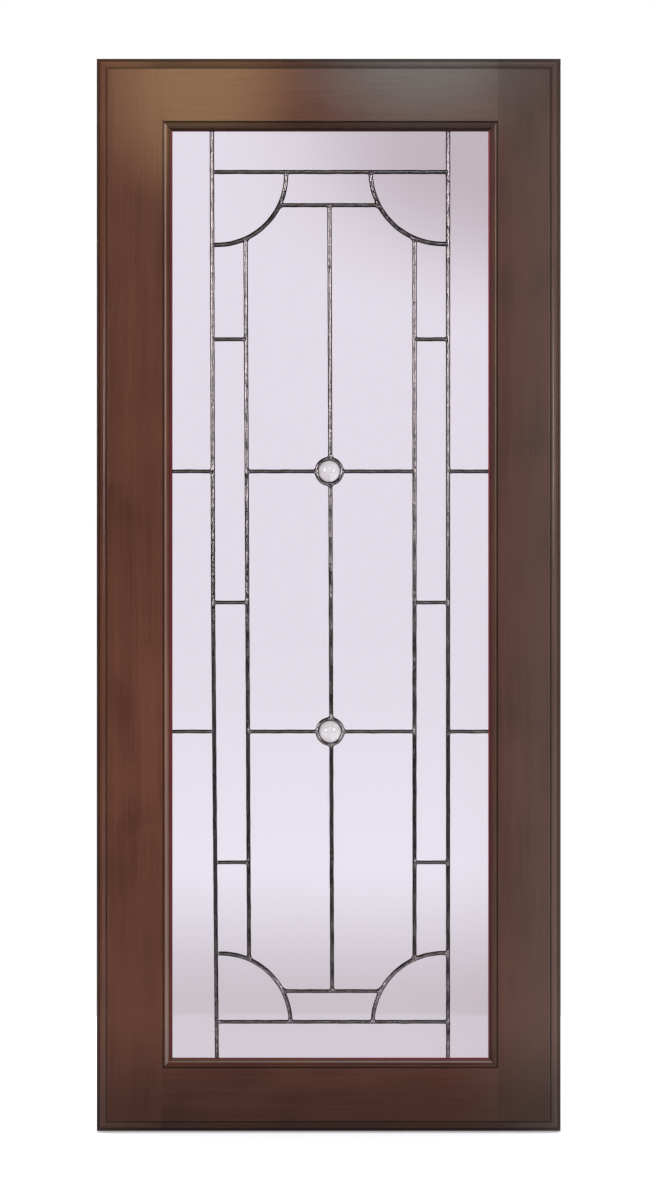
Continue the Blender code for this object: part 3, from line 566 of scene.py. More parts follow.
def member_mesh(sizes, side, end, edges, sight_painted_light, lip_reach, lip_ends):
    """A stile (side -1 or 1) or a rail (end -1 or 1) as its section carried along it.

    Every row of the section is a rectangle round the leaf or round the opening. A stile keeps the part of
    each rectangle outside the joint lines: down one side and back along both ends to the joint. A rail keeps
    the part between them. The joint is butted across the flat and mitred across the sticking. Edges names the
    painted light and shade tables of each column's outer moulding, sight_painted_light holds the painted light
    and shade across the sticking at both ends, and lip_ends holds the strength of the lip at both ends.
    """
    outer, sight = member_stations(sizes)
    gap = sizes.joint / 2
    band = sizes.sight_band
    stile = side != 0
    low, high = LEAF_LOW, LEAF_HIGH
    shift = gap if stile else -gap
    top, bottom = (np.array([[band, depth, 0.5, 0.0]]) for depth in (0.0, high.y - low.y))

    def rows_to_points(stations, columns):
        """Columns of (x, z) for every row, with the row's depth."""
        xz = np.stack([np.broadcast_to(c, (len(stations), 2)) for c in columns], 1)
        y = np.broadcast_to(low.y + stations[:, 1, None, None], (len(stations), len(columns), 1))
        return np.concatenate([xz[..., :1], y, xz[..., 1:]], 2)

    def joint_columns(hand, finish):
        """The butt and mitre places of one joint, for the outer rows, the turn rows and the sight rows."""
        sight_x = SIGHT_LEFT if hand < 0 else SIGHT_RIGHT
        sight_z = SIGHT_TOP if finish > 0 else SIGHT_BOTTOM
        edge_z = high.z if finish > 0 else low.z
        butt_x = sight_x + hand * (band + shift)
        o, s = outer[:, 0], sight[:, 0]
        butt = np.stack([np.full(len(o), butt_x), edge_z - finish * o], 1)
        turn = np.array([[butt_x, sight_z + finish * (band - (math.sqrt(2.0) - 1.0) * shift)]])
        if stile:
            mitre = np.stack([sight_x + hand * s, sight_z + finish * (s - math.sqrt(2.0) * shift)], 1)
        else:
            mitre = np.stack([sight_x + hand * (s + math.sqrt(2.0) * shift), sight_z + finish * s], 1)
        return butt, turn, mitre

    joints = [joint_columns(*j) for j in (((side, -1), (side, 1)) if stile else ((-1, end), (1, end)))]
    ends = (0, 0, 1, 1) if stile else (0, 1)
    columns, turn_columns, sight_columns = ([joints[n][kind] for n in ends] for kind in range(3))
    if stile:
        corner_x = (low.x if side < 0 else high.x) - side * outer[:, 0]
        columns[1:3] = [np.stack([corner_x, z], 1) for z in (low.z + outer[:, 0], high.z - outer[:, 0])]
    blocks = ((outer, columns), (top, turn_columns), (sight, sight_columns), (bottom, turn_columns))
    grid = np.concatenate([rows_to_points(*block) for block in blocks])
    offset, _, rub, part = np.concatenate([block[0] for block in blocks]).T
    # Painted light and shade: each moulding row takes its number from the tables, and the flats keep 1.
    round_edge = [np.interp(offset, np.linspace(0.0, sizes.edge_band, TONES), EDGE_PAINTED_LIGHT[edge]) for edge in edges]
    round_sight = [np.interp(offset, np.linspace(0.0, sizes.sight_band, TONES), sight_painted_light[n]) for n in ends]
    which = np.repeat(part[:, None], len(ends), axis=1)
    shade = np.where(which < 0, np.stack(round_edge, 1), np.where(which > 0, np.stack(round_sight, 1), 1.0))
    lip = np.interp(offset, [lip_reach, lip_reach * 1.5], [1.0, 0.0]) * (part > 0)
    lip = lip[:, None] * np.array([lip_ends[n] for n in ends])
    rows, cols = grid.shape[:2]
    number = np.arange(rows * cols).reshape(rows, cols)
    after = np.roll(number, -1, axis=0)
    quads = np.stack([number[:, :-1], number[:, 1:], after[:, 1:], after[:, :-1]], -1)
    first_turn = len(outer)
    whole = np.ones(quads.shape[:2], bool)
    if stile:
        whole[first_turn - 1:, ::2] = False
    faces = quads[whole].tolist()
    number = number.tolist()
    if stile:
        last = first_turn - 1
        faces += [[number[last][0], number[last][1], number[first_turn][1]],
                  [number[last][2], number[last][3], number[first_turn][2]],
                  [number[-1][1], number[0][1], number[0][0]],
                  [number[-1][2], number[0][3], number[0][2]]]
    for column in (0, cols - 1):
        end_points = [row[column] for row in number]
        faces += [end_points[:first_turn + 1] + end_points[-1:], end_points[first_turn:]]
    numbers = {"rub": np.repeat(rub, cols), "lip": lip.reshape(-1), "shade": shade.reshape(-1)}
    return grid.reshape(-1, 3), faces, numbers


class SeamPlan:
    """Where the seams run, as straight lines and circles in (x, z), from the named sizes."""

    def __init__(self, s):
        self.s = s
        self.head_bar = SIGHT_TOP - s.head_margin
        self.head_band = self.head_bar - s.head_band
        self.long_upper = self.head_band - s.row_upper
        self.foot_bar = SIGHT_BOTTOM + s.foot_margin
        self.foot_band = self.foot_bar + s.foot_band
        self.long_lower = self.foot_band + s.row_lower
        drop = s.short_drop
        self.short = [(self.head_band + self.long_upper) / 2 - drop, (self.long_upper + self.long_lower) / 2 - drop,
                      (self.long_lower + self.foot_band) / 2 - drop]
        self.ring_radius = s.nugget_radius + s.ring_half
        left, right = SIGHT_LEFT + s.margin_left, SIGHT_RIGHT - s.margin_right
        knee = (0.0, self.down(self.short[1]), 1.0)
        self.outer_left = self.upright(left, knee, (0.0, s.knee_lean, s.outer_lean))
        self.inner_left = self.upright(left + s.column_left, leans=(0.0, s.inner_lean))
        self.centre = self.upright((SIGHT_LEFT + SIGHT_RIGHT) / 2 + s.centre_top,
                                   leans=(0.0, s.centre_foot - s.centre_top))
        self.outer_right, self.inner_right = self.upright(right), self.upright(right - s.column_right)

    def down(self, z):
        """0 at the head of the opening, 1 at its foot."""
        return (SIGHT_TOP - z) / (SIGHT_TOP - SIGHT_BOTTOM)

    def upright(self, head, shares=(0.0, 1.0), leans=(0.0, 0.0)):
        """An upright's x as a function of z: its x at the head, and its lean at shares of the way down."""
        return lambda z: head + float(np.interp(self.down(z), shares, leans))

    def crossing(self, upright, centre, radius, end):
        """Where an upright crosses a circle above (1) or below (-1) its centre, by repeated substitution."""
        z = centre[1] + end * radius
        for _ in range(12):
            z = centre[1] + end * math.sqrt(radius ** 2 - (upright(z) - centre[0]) ** 2)
        return (upright(z), z)

    def corner(self, side, end, radius, drop):
        """A corner arc's points from the end bar to the outer seam, and where the band and inner seam meet it."""
        outer, inner = (self.outer_left, self.inner_left) if side < 0 else (self.outer_right, self.inner_right)
        bar, band = (self.head_bar, self.head_band) if end > 0 else (self.foot_bar, self.foot_band)
        centre = (outer(bar) - side * self.s.arc_inset, bar - end * drop)

        def level(z):
            return (centre[0] - side * math.sqrt(radius ** 2 - (z - centre[1]) ** 2), z)

        stops = [level(bar), level(band), self.crossing(inner, centre, radius, -end),
                 self.crossing(outer, centre, radius, -end)]
        return {"line": circle_line(centre, radius, stops), "band": stops[1], "inner": stops[2]}

    def ring(self, z):
        """The ring round a nugget, started at its right bar, and its four stops."""
        centre = (self.centre(z) + self.s.nugget_sidestep, z)
        reach = self.ring_radius
        stops = [(centre[0] + reach, z), self.crossing(self.centre, centre, reach, 1), (centre[0] - reach, z),
                 self.crossing(self.centre, centre, reach, -1)]
        return {"line": circle_line(centre, reach, stops + stops[:1]), "centre": centre, "right": stops[0],
                "top": stops[1], "left": stops[2], "bottom": stops[3]}

    def panel_edge(self):
        """The hidden seam round the panel with rounded corners, started at an upright's head."""
        reach = self.s.panel_rebate - self.s.panel_gap - self.s.wrap_half
        left, right, top = SIGHT_LEFT - reach, SIGHT_RIGHT + reach, SIGHT_TOP + reach
        bottom = SIGHT_BOTTOM - self.s.panel_rebate + self.s.foot_gap + self.s.wrap_half
        r = self.s.panel_round
        turn = np.linspace(0.0, math.pi / 2, 13)
        parts = [np.array([[self.outer_left(top), top]])]
        for x, z, first in ((left + r, top - r, 1), (left + r, bottom + r, 2), (right - r, bottom + r, 3),
                            (right - r, top - r, 4)):
            angle = first * math.pi / 2 + turn
            parts.append(np.stack([x + r * np.cos(angle), z + r * np.sin(angle)], 1))
        parts.append(parts[0])
        return np.concatenate(parts), left, right, bottom, top

    def seams(self):
        """Every seam as (half width, points), and the two rings."""
        s = self.s
        edge, left, right, bottom, top = self.panel_edge()
        knee = self.short[1]
        upper, lower = self.ring(self.long_upper), self.ring(self.long_lower)
        corners = [self.corner(*arc) for arc in ((-1, 1, s.arc_top_left, s.drop_top_left),
                                                 (1, 1, s.arc_top_right, s.drop_top_right),
                                                 (-1, -1, s.arc_foot_left, s.drop_foot_left),
                                                 (1, -1, s.arc_foot_right, s.drop_foot_right))]
        head_left, head_right, foot_left, foot_right = corners
        upright, bar = s.upright_half, s.bar_half
        lines = [(s.edge_half, edge),
                 (upright, [(self.outer_left(top), top), (self.outer_left(knee), knee)]),
                 (upright, [(self.outer_left(knee), knee), (self.outer_left(bottom), bottom)]),
                 (upright, [(self.outer_right(top), top), (self.outer_right(bottom), bottom)]),
                 (upright, [head_left["inner"], foot_left["inner"]]),
                 (upright, [head_right["inner"], foot_right["inner"]]),
                 (upright, [(self.centre(self.head_band), self.head_band), upper["top"]]),
                 (upright, [upper["bottom"], lower["top"]]),
                 (upright, [lower["bottom"], (self.centre(self.foot_band), self.foot_band)]),
                 (bar, [head_left["band"], head_right["band"]]), (bar, [foot_left["band"], foot_right["band"]]),
                 (s.ring_half, upper["line"]), (s.ring_half, lower["line"])]
        lines += [(s.arc_half, corner["line"]) for corner in corners]
        lines += [(bar, [(self.outer_left(z), z), (self.outer_right(z), z)]) for z in (self.head_bar, self.foot_bar)]
        for ring in (upper, lower):
            z = ring["centre"][1]
            lines += [(bar, [(left, z), (self.outer_left(z), z)]), (bar, [(self.outer_right(z), z), (right, z)]),
                      (bar, [(self.inner_left(z), z), ring["left"]]),
                      (bar, [ring["right"], (self.inner_right(z), z)])]
        for z in self.short:
            lines += [(bar, [(self.outer_left(z), z), (self.inner_left(z), z)]),
                      (bar, [(self.inner_right(z), z), (self.outer_right(z), z)])]
        return [(half, np.array(line, float)) for half, line in lines], upper, lower


def circle_line(centre, radius, stops):
    """Points every half millimetre along a circle, through each stop by the shorter way."""
    angles = np.unwrap([math.atan2(z - centre[1], x - centre[0]) for x, z in stops])
    runs = []
    for first, last in zip(angles[:-1], angles[1:]):
        count = max(2, int(abs(last - first) * radius / ARC_STEP))
        runs.append(np.linspace(first, last, count, endpoint=False))
    angle = np.concatenate(runs + [angles[-1:]])
    return np.stack([centre[0] + radius * np.cos(angle), centre[1] + radius * np.sin(angle)], 1)


def travel(line):
    """Length along a line at each of its points."""
    return np.concatenate([[0.0], np.cumsum(np.linalg.norm(np.diff(line, axis=0), axis=1))])


def at_length(line, run, where):
    """Points on a line at the given lengths."""
    return np.stack([np.interp(where, run, line[:, 0]), np.interp(where, run, line[:, 1])], 1)


def lengths_of_stops(line, run, ends):
    """Lengths along a line at which any of the ends lies on it, found by dropping each end on each chord."""
    start, chord = line[:-1], np.diff(line, axis=0)
    away = ends[:, None, :] - start[None]
    part = np.clip((away * chord).sum(2) / (chord ** 2).sum(1), 0.0, 1.0)
    miss = np.linalg.norm(away - part[..., None] * chord[None], axis=2)
    hit, chord_number = np.nonzero(miss < ON_SEAM)
    found = np.sort(run[chord_number] + part[hit, chord_number] * np.diff(run)[chord_number])
    keep = np.concatenate([[True], np.diff(found) > 1e-4])
    return found[keep]


def ripple(points, seed, wave):
    """Soft unevenness from -1 to 1: the mean of three sines of position, of about the given wavelength."""
    k = 2.0 * math.pi / wave
    x, z = points[:, 0], points[:, 1]
    return (np.sin(k * (0.83 * x + 1.00 * z) + seed) + np.sin(k * (1.31 * x - 0.57 * z) * 1.7 + 2.1 * seed)
            + np.sin(k * (0.45 * x + 1.43 * z) * 2.9 + 3.7 * seed)) / 3.0


class Lattice:
    """The soldered seams as one closed surface.

    Each seam is cut at its joints and sampled between them. Every cell of the plan is walked with its inside
    on the left, and half a seam's section is carried round it, out from the crown line that it shares with
    the cell on the other side. Near a joint each level of the section turns the corner on a quadratic curve,
    which leaves a small flat pool of solder on the joint.
    """

    def __init__(self, sizes):
        self.s = sizes
        lines, self.upper, self.lower = SeamPlan(sizes).seams()
        self.points, self.crowns, self.faces, self.count = [], [], [], 0
        self.joints, self.runs, self.pools = np.empty((0, 2)), [], {}
        ends = np.concatenate([line[[0, -1]] for _, line in lines])
        for half, line in lines:
            run = travel(line)
            stops = lengths_of_stops(line, run, ends)
            for first, last in zip(stops[:-1], stops[1:]):
                inner = run[(run > first + 1e-7) & (run < last - 1e-7)]
                where = np.concatenate([[first], inner, [last]])
                self.add_run(half, at_length(line, run, where))
        self.tie_corners()
        self.lay_crowns()
        self.cells = self.walk_cells()
        for number, cell in enumerate(self.cells):
            self.carry_round(cell, number)
        self.pool_joints()

    def joint(self, point):
        """The number of the joint at a point."""
        if len(self.joints):
            miss = np.linalg.norm(self.joints - point, axis=1)
            if miss.min() < SAME_JOINT:
                return int(miss.argmin())
        self.joints = np.concatenate([self.joints, [point]])
        return len(self.joints) - 1

    def add_run(self, half, line):
        """A stretch of seam between two joints."""
        self.runs.append({"half": half, "line": line, "run": travel(line), "ends": (self.joint(line[0]),
                                                                                 self.joint(line[-1]))})

    def way(self, half_run):
        """The points of a run in the direction walked: half_run is (run number, 0 forwards or 1 back)."""
        line = self.runs[half_run[0]]["line"]
        return line[::-1] if half_run[1] else line

    def tie_corners(self):
        """Sorts the ways out of each joint by bearing, and finds how far its pool of solder reaches."""
        self.ways = {}
        for number, run in enumerate(self.runs):
            self.ways.setdefault(run["ends"][0], []).append((number, 0))
            self.ways.setdefault(run["ends"][1], []).append((number, 1))
        self.reach = {}
        for joint, ways in self.ways.items():
            bearings = {}
            for way in ways:
                line = self.way(way)
                out = at_length(line, travel(line), [BEARING_REACH])[0] - line[0]
                bearings[way] = math.atan2(out[1], out[0])
            ways.sort(key=bearings.get)
            turns = np.diff([bearings[way] for way in ways] + [bearings[ways[0]] + 2 * math.pi])
            widest = max(self.runs[way[0]]["half"] for way in ways) * 1.12
            sharp = turns[turns < math.radians(165.0)]
            reach = max([widest / math.tan(turn / 2) for turn in sharp] + [0.0010]) + self.s.fillet
            shortest = min(self.runs[way[0]]["run"][-1] for way in ways)
            self.reach[joint] = min(reach, 0.42 * shortest)

    def store(self, points, y, crown):
        """Keeps (x, z) points at their depths and returns their numbers."""
        self.points.append(np.stack([points[:, 0], np.broadcast_to(y, len(points)), points[:, 1]], 1))
        self.crowns.append(np.full(len(points), crown))
        self.count += len(points)
        return np.arange(self.count - len(points), self.count)

    def rise(self, points):
        """Height of the crown: uneven, as run by hand, and nowhere above its full height."""
        return self.s.crown * (0.90 + 0.10 * ripple(points, 1.3, 0.031))

    def lay_crowns(self):
        """Samples each run between its two pools, with the crown wandering a little from side to side."""
        for run in self.runs:
            first, last = self.reach[run["ends"][0]], run["run"][-1] - self.reach[run["ends"][1]]
            count = max(2, int(math.ceil((last - first) / self.s.spacing)) + 1)
            where = np.linspace(first, last, count)
            place = at_length(run["line"], run["run"], where)
            ahead = at_length(run["line"], run["run"], np.minimum(where + 0.0004, run["run"][-1]))
            behind = at_length(run["line"], run["run"], np.maximum(where - 0.0004, 0.0))
            along = (ahead - behind) / np.linalg.norm(ahead - behind, axis=1, keepdims=True)
            side = np.stack([-along[:, 1], along[:, 0]], 1)
            taper = np.sin(np.linspace(0.0, math.pi, count))[:, None]
            run["place"] = place + side * taper * self.s.waver * ripple(place, 4.2, 0.043)[:, None]
            run["along"] = along
            run["front"] = self.store(run["place"], GLASS_FRONT - self.rise(run["place"]), 1.0)
            run["back"] = self.store(run["place"], GLASS_BACK + self.rise(run["place"]), 1.0)

    def walk_cells(self):
        """Every closed cell, as the half runs walked with its inside on the left."""
        unused = {(number, back) for number in range(len(self.runs)) for back in (0, 1)}
        cells = []
        while unused:
            here = min(unused)
            cell = []
            while here in unused:
                unused.discard(here)
                cell.append(here)
                joint = self.runs[here[0]]["ends"][1 - here[1]]
                ways = self.ways[joint]
                here = ways[ways.index((here[0], 1 - here[1])) - 1]
            cells.append(cell)
        return cells

    def sampled(self, half_run, key):
        """A run's samples in the direction walked. Directions turn round when it is walked back."""
        values = self.runs[half_run[0]][key]
        if not half_run[1]:
            return values
        return -values[::-1] if key == "along" else values[::-1]

    def carry_round(self, cell, number):
        """Carries half a section round one cell, level by level, from the front crown to the back crown.

        A level is its reach as a share of the half width, a width added to that, its height as a share of the
        crown's, its face (1 front, -1 back) and how hard its corners are pulled in.
        """
        area = sum(float(np.cross(self.way(h)[:-1], self.way(h)[1:]).sum()) for h in cell)
        inside = area > 0.0
        web = self.s.web_half
        levels = [(math.sin(t), 0.0, math.cos(t), 1, 1.0) for t in np.radians([18.0, 36.0, 54.0, 72.0, 90.0])]
        if inside:
            levels += [(0.0, web, 0.0, 1, WEB_PULL), (0.0, web, 0.0, -1, WEB_PULL)]
        levels += [(math.sin(t), 0.0, math.cos(t), -1, 1.0) for t in np.radians([90.0, 60.0, 30.0])]
        steps = np.linspace(0.0, 1.0, 8)[1:-1]
        front, back, blocks = [], [], []
        for half_run in cell:
            run = self.runs[half_run[0]]
            place, along = self.sampled(half_run, "place"), self.sampled(half_run, "along")
            normal = np.stack([-along[:, 1], along[:, 0]], 1)
            half = run["half"] if inside else self.s.wrap_half
            height = (place[:, 1] - SIGHT_BOTTOM) / (SIGHT_TOP - SIGHT_BOTTOM)
            width = half * ((0.94 + 0.12 * np.clip(height, 0.0, 1.0)) + 0.055 * ripple(place, number * 0.9, 0.027)
                            if inside else 1.0)
            blocks.append({"place": place, "along": along, "normal": normal,
                           "width": np.broadcast_to(width, len(place))})

        def corner(one, two, far, near, weight):
            """The points between two runs: a rational quadratic curve through the crossing of their sides."""
            t1, t2 = one["along"][-1], two["along"][0]
            cross = t1[0] * t2[1] - t1[1] * t2[0]
            middle = (far + near) / 2
            if abs(cross) > 0.05:
                gap = near - far
                middle = far + t1 * (gap[0] * t2[1] - gap[1] * t2[0]) / cross
            t = steps[:, None]
            a, b, c = (1 - t) ** 2, 2 * weight * t * (1 - t), t ** 2
            return (a * far + b * middle + c * near) / (a + b + c)

        following = list(range(1, len(cell))) + [0]
        for i, j in enumerate(following):
            one, two = blocks[i], blocks[j]
            bend = corner(one, two, one["place"][-1], two["place"][0], 1.0)
            bend_front = self.store(bend, GLASS_FRONT - self.rise(bend), POOL_CROWN)
            bend_back = self.store(bend, GLASS_BACK + self.rise(bend), POOL_CROWN)
            joint = self.runs[cell[i][0]]["ends"][1 - cell[i][1]]
            self.pools.setdefault(joint, {})[cell[j]] = (bend_front, bend_back)
            front += [self.sampled(cell[i], "front"), bend_front]
            back += [self.sampled(cell[i], "back"), bend_back]
            one["bend"] = bend
        loop = np.concatenate(front)
        for reach, extra, high, face, weight in levels:
            parts, crown_parts = [], []
            for i, j in enumerate(following):
                one, two = blocks[i], blocks[j]
                side_one = one["place"] + one["normal"] * (one["width"] * reach + extra)[:, None]
                side_two = two["place"][0] + two["normal"][0] * (two["width"][0] * reach + extra)
                parts += [side_one, corner(one, two, side_one[-1], side_two, weight)]
                crown_parts += [one["place"], one["bend"]]
            level, crown_line = np.concatenate(parts), np.concatenate(crown_parts)
            height = self.rise(crown_line) * high + WEB_LIFT * (high < 0.01)
            y = GLASS_FRONT - height if face > 0 else GLASS_BACK + height
            next_loop = self.store(level, y, high)
            self.bridge(loop, next_loop)
            loop = next_loop
        self.bridge(loop, np.concatenate(back))

    def bridge(self, one, two):
        """Quads between two closed loops."""
        self.faces += np.stack([one, np.roll(one, -1), np.roll(two, -1), two], 1).tolist()

    def pool_joints(self):
        """The flat pool on each joint, front and back: its outline runs from seam to seam by the bends."""
        for joint, ways in self.ways.items():
            for which, key in ((0, "front"), (1, "back")):
                outline = []
                for i, way in enumerate(ways):
                    run = self.runs[way[0]]
                    outline.append(run[key][-1 if way[1] else 0])
                    outline += list(self.pools[joint][way][which][::-1])
                self.faces.append([int(v) for v in outline])

    def build(self, material):
        """Makes the finished piece."""
        make_piece("solder_lattice", "solder", np.concatenate(self.points), self.faces, material, 0.9,
                   {"crown": np.concatenate(self.crowns)})


def nugget_mesh(sizes, centre, seed):
    """A pressed glass nugget: depth as a function of radius and turn.

    The back is flat, the rim upright, and the dome rises by rise * (1 - share^2.3)^0.62, with the outline and
    the top swelling and dipping slightly with the turn.
    """
    step, ease = 0.0002, 0.0003
    foot = sizes.nugget_radius - step
    rim = sizes.nugget_radius + sizes.ring_half - sizes.web_half - ease
    turns = np.linspace(0.0, 2 * math.pi, sizes.nugget_turns, endpoint=False)
    shares = np.sin(np.linspace(0.0, math.pi / 2, sizes.nugget_rings + 1))[::-1][:-1]
    swell = 1.0 - 0.012 * (1.0 + np.sin(2 * turns + seed)) - 0.006 * (1.0 + np.sin(3 * turns + 2 * seed))
    radius = np.concatenate([[rim * 0.5, rim - ease, rim, rim, rim - step], shares * foot])
    depth = np.concatenate([[GLASS_BACK, GLASS_BACK, GLASS_BACK - ease, GLASS_FRONT + step, GLASS_FRONT],
                            GLASS_FRONT - sizes.nugget_rise * (1.0 - shares ** 2.3) ** 0.62])
    dome = np.concatenate([np.zeros(5), np.ones(len(shares))])
    r = radius[:, None] * (1.0 + dome[:, None] * (swell - 1.0)[None])
    tilt = 1.0 + 0.04 * dome[:, None] * np.cos(turns - seed)[None] * (radius / foot)[:, None]
    y = GLASS_FRONT - (GLASS_FRONT - depth[:, None]) * np.where(dome[:, None] > 0, tilt, 1.0)
    grid = np.stack([centre[0] + r * np.cos(turns), np.broadcast_to(y, r.shape), centre[1] + r * np.sin(turns)], 2)
    rows, cols = r.shape
    number = np.arange(rows * cols).reshape(rows, cols)
    side = np.roll(number, -1, axis=1)
    faces = np.stack([number[:-1], side[:-1], side[1:], number[1:]], -1).reshape(-1, 4).tolist()
    poles = np.array([[centre[0], GLASS_BACK, centre[1]], [centre[0], GLASS_FRONT - sizes.nugget_rise, centre[1]]])
    for row, pole in ((0, rows * cols), (rows - 1, rows * cols + 1)):
        faces += np.stack([number[row], side[row], np.full(cols, pole)], 1).tolist()
    return np.concatenate([grid.reshape(-1, 3), poles]), faces


def wear(node, material):
    """Gives a CAD node its finish in place of its plain material. Its shape stays."""
    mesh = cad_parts[node].data
    mesh.materials.clear()
    mesh.materials.append(material)


class DOOR_OT_joinery(bpy.types.Operator):
    """Builds the two stiles and the two rails"""
    bl_idname = "door.joinery"
    bl_label = "Stiles and Rails"

    def execute(self, context):
        joinery, finishes = context.scene.door_joinery, context.scene.door_finishes
        for name, side, end, tone, edges, lip_reach, lip_ends in MEMBERS:
            axis = 2 if side else 0
            wood = stained_wood(name + "_wood", axis, tone, finishes, (side * 0.7 + 0.1, 0.0, end * 0.9))
            points, faces, numbers = member_mesh(joinery, side, end, edges, SIGHT_PAINTED_LIGHT[name], lip_reach, lip_ends)
            make_piece(name, "stained_wood", points, faces, wood, 0.5, numbers)
        return {"FINISHED"}


class DOOR_OT_beads(bpy.types.Operator):
    """Finishes the four glazing beads"""
    bl_idname = "door.beads"
    bl_label = "Glazing Beads"

    def execute(self, context):
        finishes = context.scene.door_finishes
        for name, axis in (("left", 2), ("right", 2), ("top", 0), ("bottom", 0)):
            wear("glazing_bead_" + name, bead_wood("bead_wood_" + name, axis, finishes, (0.2 * axis, 0.0, 0.5)))
        return {"FINISHED"}


class DOOR_OT_lattice(bpy.types.Operator):
    """Builds the soldered seams"""
    bl_idname = "door.lattice"
    bl_label = "Soldered Lattice"

    def execute(self, context):
        Lattice(context.scene.door_seams).build(solder_metal("solder_metal", context.scene.door_finishes))
        return {"FINISHED"}


class DOOR_OT_nuggets(bpy.types.Operator):
    """Builds the two glass nuggets"""
    bl_idname = "door.nuggets"
    bl_label = "Glass Nuggets"

    def execute(self, context):
        seams, finishes = context.scene.door_seams, context.scene.door_finishes
        plan = SeamPlan(seams)
        for name, z, seed in (("nugget_upper", plan.long_upper, 0.6), ("nugget_lower", plan.long_lower, 2.9)):
            glass = nugget_glass(name + "_glass", finishes, (seed, 0.0, seed))
            make_piece(name, "nugget_glass", *nugget_mesh(seams, plan.ring(z)["centre"], seed), glass, 0.9)
        return {"FINISHED"}


class DOOR_OT_panes(bpy.types.Operator):
    """Finishes the clear panes"""
    bl_idname = "door.panes"
    bl_label = "Clear Panes"

    def execute(self, context):
        finishes = context.scene.door_finishes
        sheets = [clear_glass("clear_glass_%d" % n, finishes, (n * 0.31, 0.0, n * 0.17)) for n in range(3)]
        panes = sorted(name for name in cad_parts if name.startswith("pane_"))
        if len(panes) != PANES:
            raise RuntimeError("%d panes were expected and %d were found" % (PANES, len(panes)))
        for number, name in enumerate(panes):
            wear(name, sheets[number % 3])
        return {"FINISHED"}


def soft_light(name, place, target, width, height, power):
    """A soft box that faces a target and isn't itself seen by the camera, through the glass or in the gloss."""
    data = bpy.data.lights.new(name, "AREA")
    data.shape = "RECTANGLE"
    data.size, data.size_y, data.energy = width, height, power
    lamp = bpy.data.objects.new(name, data)
    bpy.context.scene.collection.objects.link(lamp)
    lamp.location = place
    lamp.rotation_euler = (Vector(target) - Vector(place)).to_track_quat("-Z", "Y").to_euler()
    lamp.visible_camera = lamp.visible_transmission = lamp.visible_glossy = False


def studio_floor(studio):
    """A plain pale floor just under the leaf, wide and finite, so that it ends behind the glass."""
    top, thickness = LEAF_LOW.z - studio.floor_gap, 0.02
    xs, ys = (-studio.floor_left, studio.floor_right), (-studio.floor_front, studio.floor_back)
    points = np.array([(x, y, z) for z in (top, top - thickness) for y in ys for x in xs])
    faces = [(0, 1, 3, 2), (4, 6, 7, 5), (0, 4, 5, 1), (2, 3, 7, 6), (0, 2, 6, 4), (1, 5, 7, 3)]
    mesh = bpy.data.meshes.new("studio_floor")
    mesh.from_pydata(points.tolist(), [], faces)
    material, bench, place = new_material("studio_floor_paint")
    drift = bench.noise(place, 2.0, 2.0)
    bench.surface({"Base Color": bench.mix(drift, (0.93, 0.925, 0.93), (0.96, 0.955, 0.96)), "Roughness": 0.85,
                   "Specular IOR Level": 0.1, "Emission Color": (1.0, 1.0, 1.0), "Emission Strength": 0.32})
    mesh.materials.append(material)
    floor = bpy.data.objects.new("studio_floor", mesh)
    bpy.context.scene.collection.objects.link(floor)
    floor.visible_glossy = floor.visible_transmission = False


